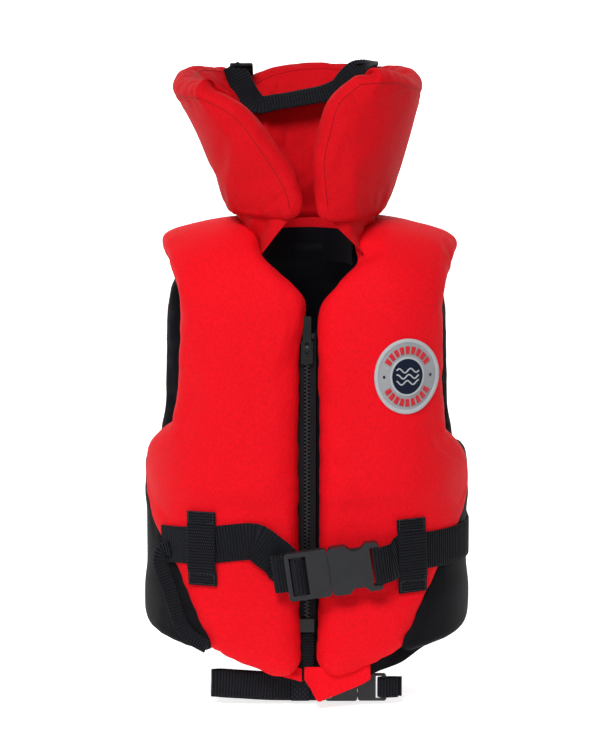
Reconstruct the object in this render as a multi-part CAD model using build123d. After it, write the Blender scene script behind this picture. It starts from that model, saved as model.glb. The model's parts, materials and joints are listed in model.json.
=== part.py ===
from build123d import *
import os
from math import asin, cos, degrees, hypot, radians, sin, sqrt

# A child's foam life jacket with a head-support collar, in millimetres.
# +Z is up, the front faces -Y, and +X is the wearer's left.
# The origin is the centre of the space for the torso, at the front hem's height.

# ---- driving dimensions -------------------------------------------------------------
TORSO_WIDTH = 336.0         # closed jacket, side to side
TORSO_DEPTH = 236.0         # closed jacket, front to back
PLAN_RADIUS = 100.0         # corners of the plan outline
FRONT_PAD = 42.0            # front foam with its cover and lining
BACK_PAD = 36.0             # back foam with its cover and lining
SIDE_PAD = 24.0             # black side inserts
SKIN = 1.2                  # coated woven nylon

HEM_CENTRE = 4.0            # height of the front hem beside the zip
HEM_SIDE = 50.0             # height of the hem at the sides
SPRING = 380.0              # height where the shoulder arches start
SHOULDER_RISE = 82.0        # from there to the top of the shoulder
SHOULDER_X = 138.0          # outer edge of a shoulder
SHOULDER_PAD = 26.0         # thickness at the top of the shoulder
BACK_NECK = 440.0           # height of the back panel's neckline
ARMHOLE_BOTTOM = 222.0
SIDE_SEAM_Y = 45.0          # seam between side insert and back

ZIP_GAP = 18.0              # between the front halves
ZIP_Y = -93.0               # middle plane of the zip
ZIP_BOTTOM, ZIP_TOP = 62.0, 336.0
TOOTH_PITCH = 3.8           # No. 10 moulded chain
SLIDER_LENGTH = 25.0
V_BOTTOM = 352.0            # where the neckline opens above the zip

NECK_X, NECK_Y, NECK_CENTRE_Y = 56.0, 86.0, -12.0       # neck opening seen from above

WEBBING = 38.0              # waist belt width
WEBBING_THICK = 2.0
BELT_Z = 134.0
BUCKLE_Z = 117.0            # the buckle hangs a little below the belt
BUCKLE_X = 23.0             # mouth of the female half
BUCKLE_Y = -130.0
BUCKLE_TILT = 8.0           # degrees, rising towards the wearer's left
BUCKLE_HALF = 24.5          # half of the buckle's width

PATCH_X, PATCH_Z, PATCH_R = 101.0, 313.0, 37.5

COLLAR_TOP = 612.0
SEAM_ANGLE = 128.0          # plan angle of the seam between pillow and wing
CROTCH_WEBBING = 25.0       # crotch strap width

CLEAR = 0.3                 # between pieces of different bodies

parts = {}


# ---- helpers ---------------------------------------------------------------------------
def plan(inset):
    """Torso outline seen from above, moved inwards by inset."""
    return RectangleRounded(TORSO_WIDTH - 2 * inset, TORSO_DEPTH - 2 * inset, PLAN_RADIUS - inset)


def wall(outside, inside, low=-40.0, high=SPRING):
    """Upright wall between two insets of the torso outline."""
    return Pos(0, 0, low) * extrude(plan(outside) - plan(inside), high - low)


def span(x, y, z):
    """Box between two values on each axis."""
    middle = Pos(sum(x) / 2, sum(y) / 2, sum(z) / 2)
    return middle * Box(abs(x[1] - x[0]), abs(y[1] - y[0]), abs(z[1] - z[0]))


def elevation(edges, y_low, y_high):
    """Outline drawn in X and Z, carried from one Y to another."""
    face = Plane.XZ * make_face(edges)
    return Pos(0, y_high, 0) * extrude(face, y_high - y_low)


def mirror_x(shape):
    return mirror(shape, about=Plane.YZ)


def pair(name, shape):
    """The wearer's left piece as drawn, and its mirror image on the right."""
    parts[f"left_{name}"] = shape
    parts[f"right_{name}"] = mirror_x(shape)


def front_surface_y(x, inset=0.0):
    """Y of the torso's front face at x."""
    straight = TORSO_WIDTH / 2 - PLAN_RADIUS
    flat_y = -(TORSO_DEPTH / 2 - PLAN_RADIUS)
    radius = PLAN_RADIUS - inset
    return flat_y - sqrt(radius**2 - max(0.0, abs(x) - straight) ** 2)


# ---- outlines of the torso panels, drawn for the wearer's left -------------------------------
ZIP_EDGE = ZIP_GAP / 2
V_TOP_X = 21.0              # V-neck edge where the shoulder arch starts
SEAM_FOOT = (82.0, 30.0)    # side insert's seam at the hem
SEAM_HEAD = (163.0, ARMHOLE_BOTTOM)
SEAM_MID = (140.0, 128.0)
ARM_MID = (132.0, 312.0)
ARM_TOP = (SHOULDER_X, SPRING)

front_outline = [
    Line((ZIP_EDGE, HEM_CENTRE), (ZIP_EDGE, V_BOTTOM)),
    Line((ZIP_EDGE, V_BOTTOM), (V_TOP_X, SPRING)),
    Line((V_TOP_X, SPRING), ARM_TOP),
    ThreePointArc(ARM_TOP, ARM_MID, SEAM_HEAD),
    ThreePointArc(SEAM_HEAD, SEAM_MID, SEAM_FOOT),
    Line(SEAM_FOOT, (ZIP_EDGE, HEM_CENTRE)),
]
OUTSIDE_X = 190.0
HEM_TURN_X = 150.0
side_outline = [
    ThreePointArc(SEAM_HEAD, SEAM_MID, SEAM_FOOT),
    Line(SEAM_FOOT, (HEM_TURN_X, HEM_SIDE)),
    Line((HEM_TURN_X, HEM_SIDE), (OUTSIDE_X, HEM_SIDE)),
    Line((OUTSIDE_X, HEM_SIDE), (OUTSIDE_X, ARMHOLE_BOTTOM)),
    Line((OUTSIDE_X, ARMHOLE_BOTTOM), SEAM_HEAD),
]
BACK_HEM = 34.0
BACK_ARM_X = 148.0
YOKE_INNER_X = 52.0
back_outline = Polyline(
    (0, BACK_HEM), (OUTSIDE_X, BACK_HEM + 16), (OUTSIDE_X, ARMHOLE_BOTTOM),
    (BACK_ARM_X, ARMHOLE_BOTTOM + 60), (SHOULDER_X, SPRING), (0, SPRING), close=True,
)
ARMHOLE_FRONT_Y, ARMHOLE_BACK_Y = -50.0, 62.0
ARMHOLE_ROUND = 45.0
armhole = Pos((ARMHOLE_FRONT_Y + ARMHOLE_BACK_Y) / 2, (ARMHOLE_BOTTOM + SPRING + ARMHOLE_ROUND) / 2) \
    * RectangleRounded(
        ARMHOLE_BACK_Y - ARMHOLE_FRONT_Y, SPRING + ARMHOLE_ROUND - ARMHOLE_BOTTOM, ARMHOLE_ROUND)
armhole_cut = Pos(100, 0, 0) * extrude(Plane.YZ * armhole, 100)


def front_half(outside, inside):
    outline = elevation(front_outline, -140, -12)
    return (wall(outside, inside) & outline) - armhole_cut


def back_half(outside, inside):
    outline = elevation(back_outline, SIDE_SEAM_Y, 140)
    half = (wall(outside, inside) & outline) - armhole_cut
    neck = wall(outside, inside, SPRING, BACK_NECK) & span((0, YOKE_INNER_X), (60, 140), (SPRING, BACK_NECK))
    return half + neck


def both(shape):
    return shape + mirror_x(shape)


# ---- torso panels: cover, two foam sheets and lining -----------------------------------------
FRONT_MID = FRONT_PAD / 2
BACK_MID = BACK_PAD / 2
pair("front_cover", front_half(0, SKIN))
pair("front_foam_outer", front_half(SKIN, FRONT_MID))
pair("front_foam_inner", front_half(FRONT_MID, FRONT_PAD - SKIN))
pair("front_lining", front_half(FRONT_PAD - SKIN, FRONT_PAD))
parts["back_cover"] = both(back_half(0, SKIN))
parts["back_foam_outer"] = both(back_half(SKIN, BACK_MID))
parts["back_foam_inner"] = both(back_half(BACK_MID, BACK_PAD - SKIN))
parts["back_lining"] = both(back_half(BACK_PAD - SKIN, BACK_PAD))


def side_insert():
    """Black padded insert from the front half's curved seam round to the back."""
    pad = wall(0, SIDE_PAD)
    corner = pad & elevation(side_outline, -140, 0)
    flank = pad & span((100, 190), (0, SIDE_SEAM_Y), (HEM_SIDE, ARMHOLE_BOTTOM))
    return corner + flank


pair("side_insert", side_insert())


def shoulder_yoke():
    """Padded arch over the shoulder, trimmed by the neck opening and the V-neck."""
    depth = TORSO_DEPTH / 2
    outer = Ellipse(depth, SHOULDER_RISE)
    inner = Ellipse(depth - FRONT_PAD, SHOULDER_RISE - SHOULDER_PAD)
    above = Pos(0, SHOULDER_RISE / 2) * Rectangle(2 * depth, SHOULDER_RISE)
    arch = Plane.YZ * (Pos(0, SPRING) * ((outer - inner) & above))
    front = Pos(ZIP_EDGE, 0, 0) * extrude(arch, SHOULDER_X - ZIP_EDGE)
    front = front & span((0, 200), (-140, 0), (SPRING, 500))
    back = Pos(YOKE_INNER_X, 0, 0) * extrude(arch, SHOULDER_X - YOKE_INNER_X)
    back = back & span((0, 200), (0, 140), (SPRING, 500))
    neck = Pos(0, NECK_CENTRE_Y, 0) * extrude(Ellipse(NECK_X, NECK_Y), 600)
    v_neck = Polyline(
        (0, V_BOTTOM), (ZIP_EDGE, V_BOTTOM), (V_TOP_X, SPRING), (38, 436), (46, 500), (0, 500), close=True)
    footprint = Pos(0, 0, SPRING) * extrude(plan(0), 120)
    return ((front + back) & footprint) - neck - elevation(v_neck, -140, -30)


pair("shoulder_yoke", shoulder_yoke())


def neck_gusset():
    """Thin unpadded band from the neckline up to the collar."""
    inside = Ellipse(NECK_X - 3, NECK_Y - 3)
    band = Ellipse(NECK_X - 3 + SKIN, NECK_Y - 3 + SKIN) - inside
    return Pos(0, NECK_CENTRE_Y, 418) * extrude(band, 33)


parts["neck_gusset"] = neck_gusset()


# ---- hem ------------------------------------------------------------------------------------
def hem_strip(x_low, x_high, drop, inset):
    """Flat strip hanging from the front foam's lower edge."""
    def hem_z(x):
        if x > SEAM_FOOT[0]:
            slope = (HEM_SIDE - SEAM_FOOT[1]) / (HEM_TURN_X - SEAM_FOOT[0])
        else:
            slope = (SEAM_FOOT[1] - HEM_CENTRE) / (SEAM_FOOT[0] - ZIP_EDGE)
        return SEAM_FOOT[1] + (x - SEAM_FOOT[0]) * slope

    edge = Polyline(
        (x_low, hem_z(x_low) - drop), (x_high, hem_z(x_high) - drop),
        (x_high, hem_z(x_high)), (x_low, hem_z(x_low)), close=True)
    return wall(inset, inset + SKIN) & elevation(edge, -140, -20)


pair("hem_band", hem_strip(ZIP_EDGE, 74, 18, 16))
pair("hem_liner", hem_strip(SEAM_FOOT[0], 138, 20, 20))
parts["hem_band_back"] = wall(14, 14 + SKIN, BACK_HEM - 16, BACK_HEM) & span((-120, 120), (60, 140), (-40, 60))
parts["hem_tab"] = span((-7, 7), (-92, -90.5), (-6, 46))


# ---- zip --------------------------------------------------------------------------------------
TAPE_THICK = 0.9
TEETH_THICK = 3.2
TOOTH_REACH = 2.9           # from the centre line to the tape
PLATE_GAP = 4.2             # between the slider's two plates


def zip_tape():
    return span(
        (TOOTH_REACH, ZIP_EDGE), (ZIP_Y - TAPE_THICK / 2, ZIP_Y + TAPE_THICK / 2), (46, V_BOTTOM + 2))


def zip_teeth(side):
    """One row of moulded teeth; the two rows are half a pitch apart."""
    count = int((ZIP_TOP - ZIP_BOTTOM) / TOOTH_PITCH)
    start = ZIP_BOTTOM + (TOOTH_PITCH / 2 if side < 0 else 0)
    tooth = Box(TOOTH_REACH + 0.7, TEETH_THICK, TOOTH_PITCH * 0.44)
    middle = side * (TOOTH_REACH - 0.7) / 2
    return Compound(
        children=[Pos(middle, ZIP_Y, start + i * TOOTH_PITCH) * tooth for i in range(count)])


pair("zip_tape", zip_tape())
parts["left_zip_teeth"] = zip_teeth(1)
parts["right_zip_teeth"] = zip_teeth(-1)
parts["zip_box"] = span((-7.5, 7.5), (ZIP_Y - 3.2, ZIP_Y - 0.6), (46, ZIP_BOTTOM - 2))
parts["zip_placket"] = span((-ZIP_EDGE, ZIP_EDGE), (-87, -85.8), (6, V_BOTTOM))
stop = Box(2.4, TEETH_THICK, 5)
parts["zip_top_stops"] = Compound(children=[Pos(s * 5.8, ZIP_Y - 2.2, V_BOTTOM - 0.4) * stop for s in (-1, 1)])

slider_z = ZIP_TOP - 13
SLIDER_HALF = 6.0
PIVOT_Z = slider_z + 16
PIVOT_Y = ZIP_Y - 7.6


def zip_slider():
    """Two plates joined by a post at the top, with a lug for the pull tab."""
    z = (slider_z, slider_z + SLIDER_LENGTH)
    front = span((-SLIDER_HALF, SLIDER_HALF), (ZIP_Y - 5.0, ZIP_Y - PLATE_GAP / 2), z)
    back = span((-SLIDER_HALF, SLIDER_HALF), (ZIP_Y + PLATE_GAP / 2, ZIP_Y + 4.6), z)
    plates = fillet((front + back).edges().filter_by(Axis.Y), 2.5)
    post = span((-1.4, 1.4), (ZIP_Y - 3, ZIP_Y + 3), (ZIP_TOP + 5, ZIP_TOP + 10))
    lug = Pos(-1.3, ZIP_Y - 4.6, PIVOT_Z) * extrude(Plane.YZ * Circle(5.4), 2.6)
    lug = lug & span((-2, 2), (ZIP_Y - 12, ZIP_Y - 4), z)
    eye = Pos(-3, PIVOT_Y, PIVOT_Z) * extrude(Plane.YZ * Circle(1.8), 6)
    return plates + post + lug - eye


def zip_pull():
    """Pull tab, standing up from the slider, on a pin through the lug."""
    pin = Pos(-4, PIVOT_Y, PIVOT_Z) * extrude(Plane.YZ * Circle(1.2), 8)
    thick = (PIVOT_Y - 1.4, PIVOT_Y + 1.4)
    legs = [span((s * 1.9, s * 4.2), thick, (PIVOT_Z - 1.4, PIVOT_Z + 9)) for s in (-1, 1)]
    tab = span((-4.2, 4.2), thick, (PIVOT_Z + 8, PIVOT_Z + 33))
    ridge = Box(7, 0.8, 1.2)
    ridges = [Pos(0, PIVOT_Y - 1.6, PIVOT_Z + 14 + 4 * i) * ridge for i in range(4)]
    return Part() + [pin, tab, *legs, *ridges]


parts["zip_slider_body"] = zip_slider()
parts["zip_pull_tab"] = zip_pull()


# ---- waist belt ----------------------------------------------------------------------------------
BELT_IN = 0.3               # belt stands this far off the covers
BELT_OUT = BELT_IN + WEBBING_THICK
belt_z = (BELT_Z - WEBBING / 2, BELT_Z + WEBBING / 2)
belt_ring = wall(-BELT_OUT, -BELT_IN, *belt_z)
LOOP_X = 106.0              # middle of a front belt loop
LOOP_WIDTH = 32.0
BACK_LOOP_X = 78.0
buckle_frame = Pos(BUCKLE_X, BUCKLE_Y, BUCKLE_Z) * Rot(0, -BUCKLE_TILT, 0)
strap_y = (-TORSO_DEPTH / 2 - BELT_OUT - BUCKLE_Y, -TORSO_DEPTH / 2 - BELT_IN - BUCKLE_Y)
RAIL = WEBBING / 2          # half webbing width, along the buckle's own height
END_X = 72.0                # where the straight strap becomes the wrapped belt
FOLD_X = 150.0              # the right belt folds down here
BACK_END_X = -110.0         # sewn end of the left belt, past both back loops


def belt_left():
    """Sewn round the female half's bar, then round the side and across the back."""
    wrapped = belt_ring & (span((END_X, 200), (-140, 140), belt_z) + span((BACK_END_X, 200), (60, 140), belt_z))
    back = span((44, 62), strap_y, (-RAIL, RAIL))
    front = span((44, 56), (-7.0, -5.2), (-RAIL, RAIL))
    fold = span((54.5, 56.5), (-7.0, strap_y[1]), (-RAIL, RAIL))
    return wrapped + buckle_frame * (back + front + fold)


def belt_right():
    """From its fold at the side, through the ladder lock and over its middle bar."""
    front = belt_ring & span((-FOLD_X, -END_X), (-140, 0), belt_z)
    back = span((-104, -36), strap_y, (-RAIL, RAIL))
    rise = span((-37.5, -35.5), (-7.2, strap_y[1]), (-RAIL, RAIL))
    over = span((-37.5, -24), (-7.2, -5.4), (-RAIL, RAIL))
    fall = span((-26, -24), (-7.2, strap_y[0] - 1), (-RAIL, RAIL))
    return front + buckle_frame * (back + rise + over + fall)


def belt_side_strap():
    """The right belt's lower run, from its fold down to the hem."""
    foot_z = 34.0
    edge = Polyline(
        (-FOLD_X, belt_z[0]), (-FOLD_X + 16, belt_z[0]), (-88, foot_z), (-106, foot_z + 5), close=True)
    return wall(-BELT_OUT, -BELT_IN, 0, belt_z[0]) & elevation(edge, -140, 0)


parts["left_belt_webbing"] = belt_left()
parts["right_belt_webbing"] = belt_right()
parts["belt_side_strap"] = belt_side_strap()
parts["belt_tail"] = buckle_frame * span((-66, -46), (-0.5, 6), (-RAIL, RAIL))


def belt_loop(x, y_low, y_high):
    """Webbing loop sewn above and below the belt."""
    low, high = BELT_Z - 38, BELT_Z + 38
    sewn = 14
    cut = span((x - LOOP_WIDTH / 2, x + LOOP_WIDTH / 2), (y_low, y_high), (low, high))
    face = wall(-BELT_OUT - 2.2, -BELT_OUT - 0.3, low, high) & cut
    ends = wall(-BELT_OUT - 0.4, 0, low, low + sewn) + wall(-BELT_OUT - 0.4, 0, high - sewn, high)
    return face + (ends & cut)


pair("belt_loop", belt_loop(LOOP_X, -140, 0))
pair("belt_loop_back", belt_loop(BACK_LOOP_X, 0, 140))


# ---- side-release buckle, drawn about its mouth with the female half towards +X --------------------
MOUTH = 20.6                # half height of the mouth
CAVITY_Y = 3.7
BODY_Y = 6.8
FEMALE_LENGTH = 52.0
ARM_ROOT = 1.2              # arms start this far behind the mouth plane
ARM_OUT = MOUTH - CLEAR
ARM_IN = 14.0


def buckle_female():
    body = span((0, FEMALE_LENGTH), (-BODY_Y, BODY_Y), (-BUCKLE_HALF, BUCKLE_HALF))
    body = fillet(body.edges().filter_by(Axis.Y), 5)
    cavity = span((-1, 40), (-CAVITY_Y, CAVITY_Y), (-MOUTH, MOUTH))
    windows = span((19, 37), (-CAVITY_Y, CAVITY_Y), (-30, 30))
    thumb = [Pos(28, 0, s * (BUCKLE_HALF + 5)) * Rot(90, 0, 0) * Cylinder(11, 20) for s in (-1, 1)]
    slot = span((42.5, 47), (-10, 10), (-RAIL - 0.6, RAIL + 0.6))
    relief = span((46, 57), (-10, -4.4), (-RAIL - 0.6, RAIL + 0.6))
    return body - cavity - windows - slot - relief - thumb[0] - thumb[1]


def buckle_male():
    frame = span((-44, -0.4), (-5, 5), (-BUCKLE_HALF, BUCKLE_HALF))
    frame = fillet(frame.edges().filter_by(Axis.Y), 4)
    outer_slot = span((-39.5, -34.5), (-10, 10), (-RAIL - 0.6, RAIL + 0.6))
    inner_slot = span((-28.0, -22.5), (-10, 10), (-RAIL - 0.6, RAIL + 0.6))
    tongue = span((-1, 30), (-3, 3), (-3, 3))
    root = span((-0.6, 1.6), (-3, 3), (-ARM_IN + 1, ARM_IN - 1))
    return frame + tongue + root - outer_slot - inner_slot


def squeeze_arm(side):
    """Springy arm with a grip pad in the female half's window."""
    outline = Polyline(
        (ARM_ROOT, side * ARM_IN), (34, side * (ARM_IN - 1)), (38, side * (ARM_IN + 2)),
        (38, side * ARM_OUT), (20, side * ARM_OUT), (16, side * (ARM_OUT - 2.4)),
        (ARM_ROOT, side * (ARM_OUT - 2.4)), close=True)
    return elevation(outline, -3.2, 3.2)


parts["buckle_female"] = buckle_frame * buckle_female()
parts["buckle_male_frame"] = buckle_frame * buckle_male()
parts["buckle_upper_arm"] = buckle_frame * squeeze_arm(1)
parts["buckle_lower_arm"] = buckle_frame * squeeze_arm(-1)


# ---- patch ------------------------------------------------------------------------------------------
def patch_layer(inner, outer, low, high):
    """Round layer that follows the left front's curve."""
    straight = TORSO_WIDTH / 2 - PLAN_RADIUS
    lean = asin((PATCH_X - straight) / PLAN_RADIUS)
    facing = Plane(origin=(PATCH_X, front_surface_y(PATCH_X), PATCH_Z), z_dir=(sin(lean), -cos(lean), 0))
    disc = Cylinder(outer, 60)
    if inner > 0:
        disc = disc - Cylinder(inner, 60)
    return wall(-high, -low, PATCH_Z - 50, PATCH_Z + 50) & (facing * disc)


parts["patch_base"] = patch_layer(0, PATCH_R - 1.5, 0.0, 0.8)
parts["patch_border"] = patch_layer(PATCH_R - 4, PATCH_R, 0.8, 2.4)
parts["patch_centre"] = patch_layer(0, 18, 0.8, 1.6)


# ---- collar: a funnel of three pads, each a cover round its foam -------------------------------------
COLLAR_LOW = 452.0
RIM_Z = COLLAR_TOP
BASE_HALF_WIDTH, RIM_HALF_WIDTH = 75.0, 128.0
FRONT_BASE, FRONT_RIM = 104.0, 100.0
BACK_BASE, BACK_RIM = 86.0, 124.0
BASE_THICK, PAD_THICK, RIM_THICK = 16.0, 44.0, 30.0
SHOULDER_DROP = 26.0        # from the rim to the thickest part


def funnel(angle, z):
    """Outer radius of the collar at a plan angle and a height."""
    up = (z - COLLAR_LOW) / (RIM_Z - COLLAR_LOW)
    across = BASE_HALF_WIDTH + up * (RIM_HALF_WIDTH - BASE_HALF_WIDTH)
    if sin(radians(angle)) < 0:
        along = FRONT_BASE + up * (FRONT_RIM - FRONT_BASE)
    else:
        along = BACK_BASE + up * (BACK_RIM - BACK_BASE)
    return 1 / hypot(cos(radians(angle)) / across, sin(radians(angle)) / along)


def collar_section(angle, bottom, top, inset):
    """Upright cut through a pad at a plan angle, drawn inset from its surface."""
    low, high = bottom + inset, top - inset
    thick_z = low + max(6.0, (high - low) - SHOULDER_DROP)
    full = min(1.0, (top - bottom) / 120)
    thick = BASE_THICK + full * (PAD_THICK - BASE_THICK)
    rim = BASE_THICK + full * (RIM_THICK - BASE_THICK)
    outline = [
        (funnel(angle, low) - BASE_THICK + inset, low), (funnel(angle, low) - inset, low),
        (funnel(angle, thick_z) - inset, thick_z), (funnel(angle, high) - inset, high),
        (funnel(angle, high) - rim + inset, high), (funnel(angle, thick_z) - thick + inset, thick_z)]
    flat = [(r * cos(radians(angle)), r * sin(radians(angle)), z) for r, z in outline]
    return make_face(Polyline(flat, close=True))


def pad(stations, inset=0.0):
    """Loft through upright cuts, each an angle with its lowest and highest point."""
    shrink = degrees(inset / 90)
    first, last = stations[0], stations[-1]
    turn = 1 if last[0] > first[0] else -1
    ends = {first: shrink * turn, last: -shrink * turn}
    cuts = [collar_section(s[0] + ends.get(s, 0.0), s[1], s[2], inset) for s in stations]
    return loft(cuts, ruled=True)


PILLOW_END = SEAM_ANGLE - 0.8
WING_START = SEAM_ANGLE + 0.8
pillow_stations = [
    (180 - PILLOW_END, 457, RIM_Z), (72, 456, RIM_Z + 3), (90, 456, RIM_Z + 5),
    (108, 456, RIM_Z + 3), (PILLOW_END, 457, RIM_Z)]
wing_stations = [
    (WING_START, 460, RIM_Z), (150, 472, RIM_Z + 2), (180, 478, RIM_Z + 2),
    (205, 474, RIM_Z), (232, 464, RIM_Z - 8), (248, 457, 552), (262, COLLAR_LOW, 482)]
parts["collar_pillow_foam"] = pad(pillow_stations, SKIN)
parts["collar_pillow_cover"] = pad(pillow_stations) - pad(pillow_stations, SKIN)
wing_foam = pad(wing_stations, SKIN)
wing_cover = pad(wing_stations) - wing_foam
parts["right_wing_foam"], parts["left_wing_foam"] = wing_foam, mirror_x(wing_foam)
parts["right_wing_cover"], parts["left_wing_cover"] = wing_cover, mirror_x(wing_cover)

# ---- grab handle: hangs inside the collar from two tabs sewn over the rim -------------------------------
HANDLE_X = 63.0
HANDLE_Y = 54.0
HANDLE_THICK = 2.0
RIM_TOP = RIM_Z + 6.0       # just above the rim's highest point
parts["grab_handle_tabs"] = Part() + [
    span((s * (HANDLE_X - 12), s * (HANDLE_X + 12)), (HANDLE_Y + 2.5, 104), (RIM_TOP, RIM_TOP + 2))
    for s in (-1, 1)]
handle_half = [
    (0, RIM_Z - 14), (38, RIM_Z - 12), (48, RIM_TOP + 4), (HANDLE_X + 12, RIM_TOP + 4),
    (HANDLE_X + 12, RIM_TOP - 1), (51, RIM_TOP - 1), (41, RIM_Z - 37), (0, RIM_Z - 39)]
handle_half = elevation(Polyline(handle_half, close=True), HANDLE_Y - HANDLE_THICK, HANDLE_Y)
parts["grab_handle"] = both(handle_half)

# ---- crotch strap: hangs below the front hem ----------------------------------------------------------
STRAP_Y = -88.0
STRAP_TOP = -1.0
STRAP_Z = STRAP_TOP - CROTCH_WEBBING / 2
SMALL_MOUTH_X = 52.0
strap_thick = (STRAP_Y, STRAP_Y + 1.6)
strap_z = (STRAP_Z - CROTCH_WEBBING / 2, STRAP_Z + CROTCH_WEBBING / 2)
parts["crotch_webbing"] = span((-98, 19), strap_thick, strap_z)
parts["crotch_keeper"] = (
    span((-16, 2), (STRAP_Y - 2, STRAP_Y + 3.6), (strap_z[0] - 2, strap_z[1] + 0.6))
    - span((-20, 6), (STRAP_Y - 0.2, STRAP_Y + 1.8), (strap_z[0] - 0.2, strap_z[1] + 0.2)))


def small_buckle():
    """Two halves of the 25 mm buckle: socket and plug with its arms."""
    half = CROTCH_WEBBING / 2 + 2.6
    middle = Pos(SMALL_MOUTH_X, STRAP_Y + 0.8, STRAP_Z)
    socket = span((-33, 0), (-4.6, 4.6), (-half + 1, half - 1.6))
    socket = fillet(socket.edges().filter_by(Axis.Y), 3)
    socket = socket - span((-25, 1), (-2.4, 2.4), (-11, 11)) - span((-20, -9), (-2.4, 2.4), (-20, 20))
    socket = socket - span((-31.5, -26.5), (-8, 8), (-CROTCH_WEBBING / 2 - 0.2, CROTCH_WEBBING / 2 - 0.4))
    plug = span((0.4, 30), (-3.6, 3.6), (-half + 1, half - 1.6))
    plug = fillet(plug.edges().filter_by(Axis.Y), 3)
    plug = plug - span((19, 25), (-8, 8), (-CROTCH_WEBBING / 2 - 0.2, CROTCH_WEBBING / 2 - 0.4))
    arms = [span((-22, 1), (-2, 2), (s * 6.5, s * 10.6)) for s in (-1, 1)]
    tongue = span((-16, 1), (-2, 2), (-1.8, 1.8))
    return middle * socket, middle * (plug + arms[0] + arms[1] + tongue)


parts["crotch_buckle_female"], parts["crotch_buckle_male"] = small_buckle()
parts["crotch_anchor"] = span(
    (SMALL_MOUTH_X + 30.4, SMALL_MOUTH_X + 48), strap_thick, (strap_z[0], strap_z[1]))

# ---- write -------------------------------------------------------------------------------------------
os.makedirs("parts", exist_ok=True)
for name, shape in parts.items():
    export_step(shape, f"parts/{name}.step")
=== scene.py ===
import json
from math import atan2, cos, pi, radians, sin

import bpy
import numpy as np
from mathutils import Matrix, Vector, noise
from mathutils.bvhtree import BVHTree


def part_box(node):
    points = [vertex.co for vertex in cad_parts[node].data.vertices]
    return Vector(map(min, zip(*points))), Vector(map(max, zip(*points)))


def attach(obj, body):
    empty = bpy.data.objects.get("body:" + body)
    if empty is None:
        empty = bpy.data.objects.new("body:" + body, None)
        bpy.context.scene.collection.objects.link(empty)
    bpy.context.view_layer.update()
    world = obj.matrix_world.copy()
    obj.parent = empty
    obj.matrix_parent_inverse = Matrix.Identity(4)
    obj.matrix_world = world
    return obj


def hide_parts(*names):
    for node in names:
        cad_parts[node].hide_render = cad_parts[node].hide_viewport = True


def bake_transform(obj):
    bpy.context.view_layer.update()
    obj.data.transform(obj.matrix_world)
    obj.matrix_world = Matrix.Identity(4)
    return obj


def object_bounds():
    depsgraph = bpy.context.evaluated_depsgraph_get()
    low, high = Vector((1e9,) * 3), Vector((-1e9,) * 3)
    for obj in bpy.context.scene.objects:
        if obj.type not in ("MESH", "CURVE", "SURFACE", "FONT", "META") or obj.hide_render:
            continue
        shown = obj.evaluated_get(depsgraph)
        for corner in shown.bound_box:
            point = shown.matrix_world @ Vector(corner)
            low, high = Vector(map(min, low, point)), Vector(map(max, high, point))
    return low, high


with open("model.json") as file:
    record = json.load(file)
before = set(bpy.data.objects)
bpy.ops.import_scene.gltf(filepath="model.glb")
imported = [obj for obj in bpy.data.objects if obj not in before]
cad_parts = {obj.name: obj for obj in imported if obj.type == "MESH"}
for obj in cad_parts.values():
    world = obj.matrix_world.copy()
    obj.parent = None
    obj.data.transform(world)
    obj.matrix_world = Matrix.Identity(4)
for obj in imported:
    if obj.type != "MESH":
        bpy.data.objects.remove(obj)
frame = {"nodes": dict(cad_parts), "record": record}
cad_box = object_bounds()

# A child's foam life jacket with a head-support collar. Metres, +Z up, the front faces -Y.

# ---- sizes ----
HALF_WIDTH, HALF_DEPTH, PLAN_RADIUS = 0.168, 0.118, 0.100
FLAT, SIDE = HALF_WIDTH - PLAN_RADIUS, HALF_DEPTH - PLAN_RADIUS
ARC = PLAN_RADIUS * pi / 2
SPRING = 0.380              # the shoulder arches start here
ARCH_RATE = 0.1016          # metres of arch per radian
SHOULDER_END = SPRING + ARCH_RATE * radians(140)    # the front pad ends behind the shoulder
BACK_SHOULDER = SPRING + ARCH_RATE * radians(38)
SIDE_SEAM = 0.2886          # arc length from the front centre to the side seam
BELT_Z = sum(corner.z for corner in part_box("left_belt_webbing")) / 2
BELT_FLAT, BELT_FLAT_SIDE = (0.094, 0.176), (0.108, 0.160)    # the belt holds the covers flat here
WEBBING, WEBBING_THICK = 0.038, 0.0019
COLLAR_LOW, COLLAR_RIM = 0.452, 0.612
WORD = {-1: "right", 1: "left"}     # the wearer's own sides


# ---- curves and surfaces ----
def smooth(keys, x):
    """Smooth curve through (x, y) keys, as numbers or an array."""
    kx, ky = np.array(keys, float).T
    slope = np.gradient(ky, kx)
    x = np.clip(x, kx[0], kx[-1])
    i = np.clip(np.searchsorted(kx, x) - 1, 0, len(kx) - 2)
    h = kx[i + 1] - kx[i]
    u = (x - kx[i]) / h
    return ((2 * u**3 - 3 * u**2 + 1) * ky[i] + (u**3 - 2 * u**2 + u) * h * slope[i]
            + (3 * u**2 - 2 * u**3) * ky[i + 1] + (u**3 - u**2) * h * slope[i + 1])


def outline(s):
    """The torso's plan at signed arc length s from the front centre."""
    a = np.abs(s)
    turn = (np.clip((a - FLAT) / PLAN_RADIUS, 0, pi / 2)
            + np.clip((a - FLAT - ARC - 2 * SIDE) / PLAN_RADIUS, 0, pi / 2))
    back = np.clip(a - FLAT - 2 * ARC - 2 * SIDE, 0, None)
    x = np.minimum(a, FLAT) + PLAN_RADIUS * np.sin(turn) - back
    y = -SIDE - PLAN_RADIUS * np.cos(turn) + np.clip(a - FLAT - ARC, 0, 2 * SIDE)
    return np.sign(s) * x, y


def arc_at(x):
    """Arc length from the front centre to a plan width x."""
    return np.where(np.abs(x) <= FLAT, x, FLAT + PLAN_RADIUS * np.arcsin(
        np.clip((np.abs(x) - FLAT) / PLAN_RADIUS, 0, 1)))


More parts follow.
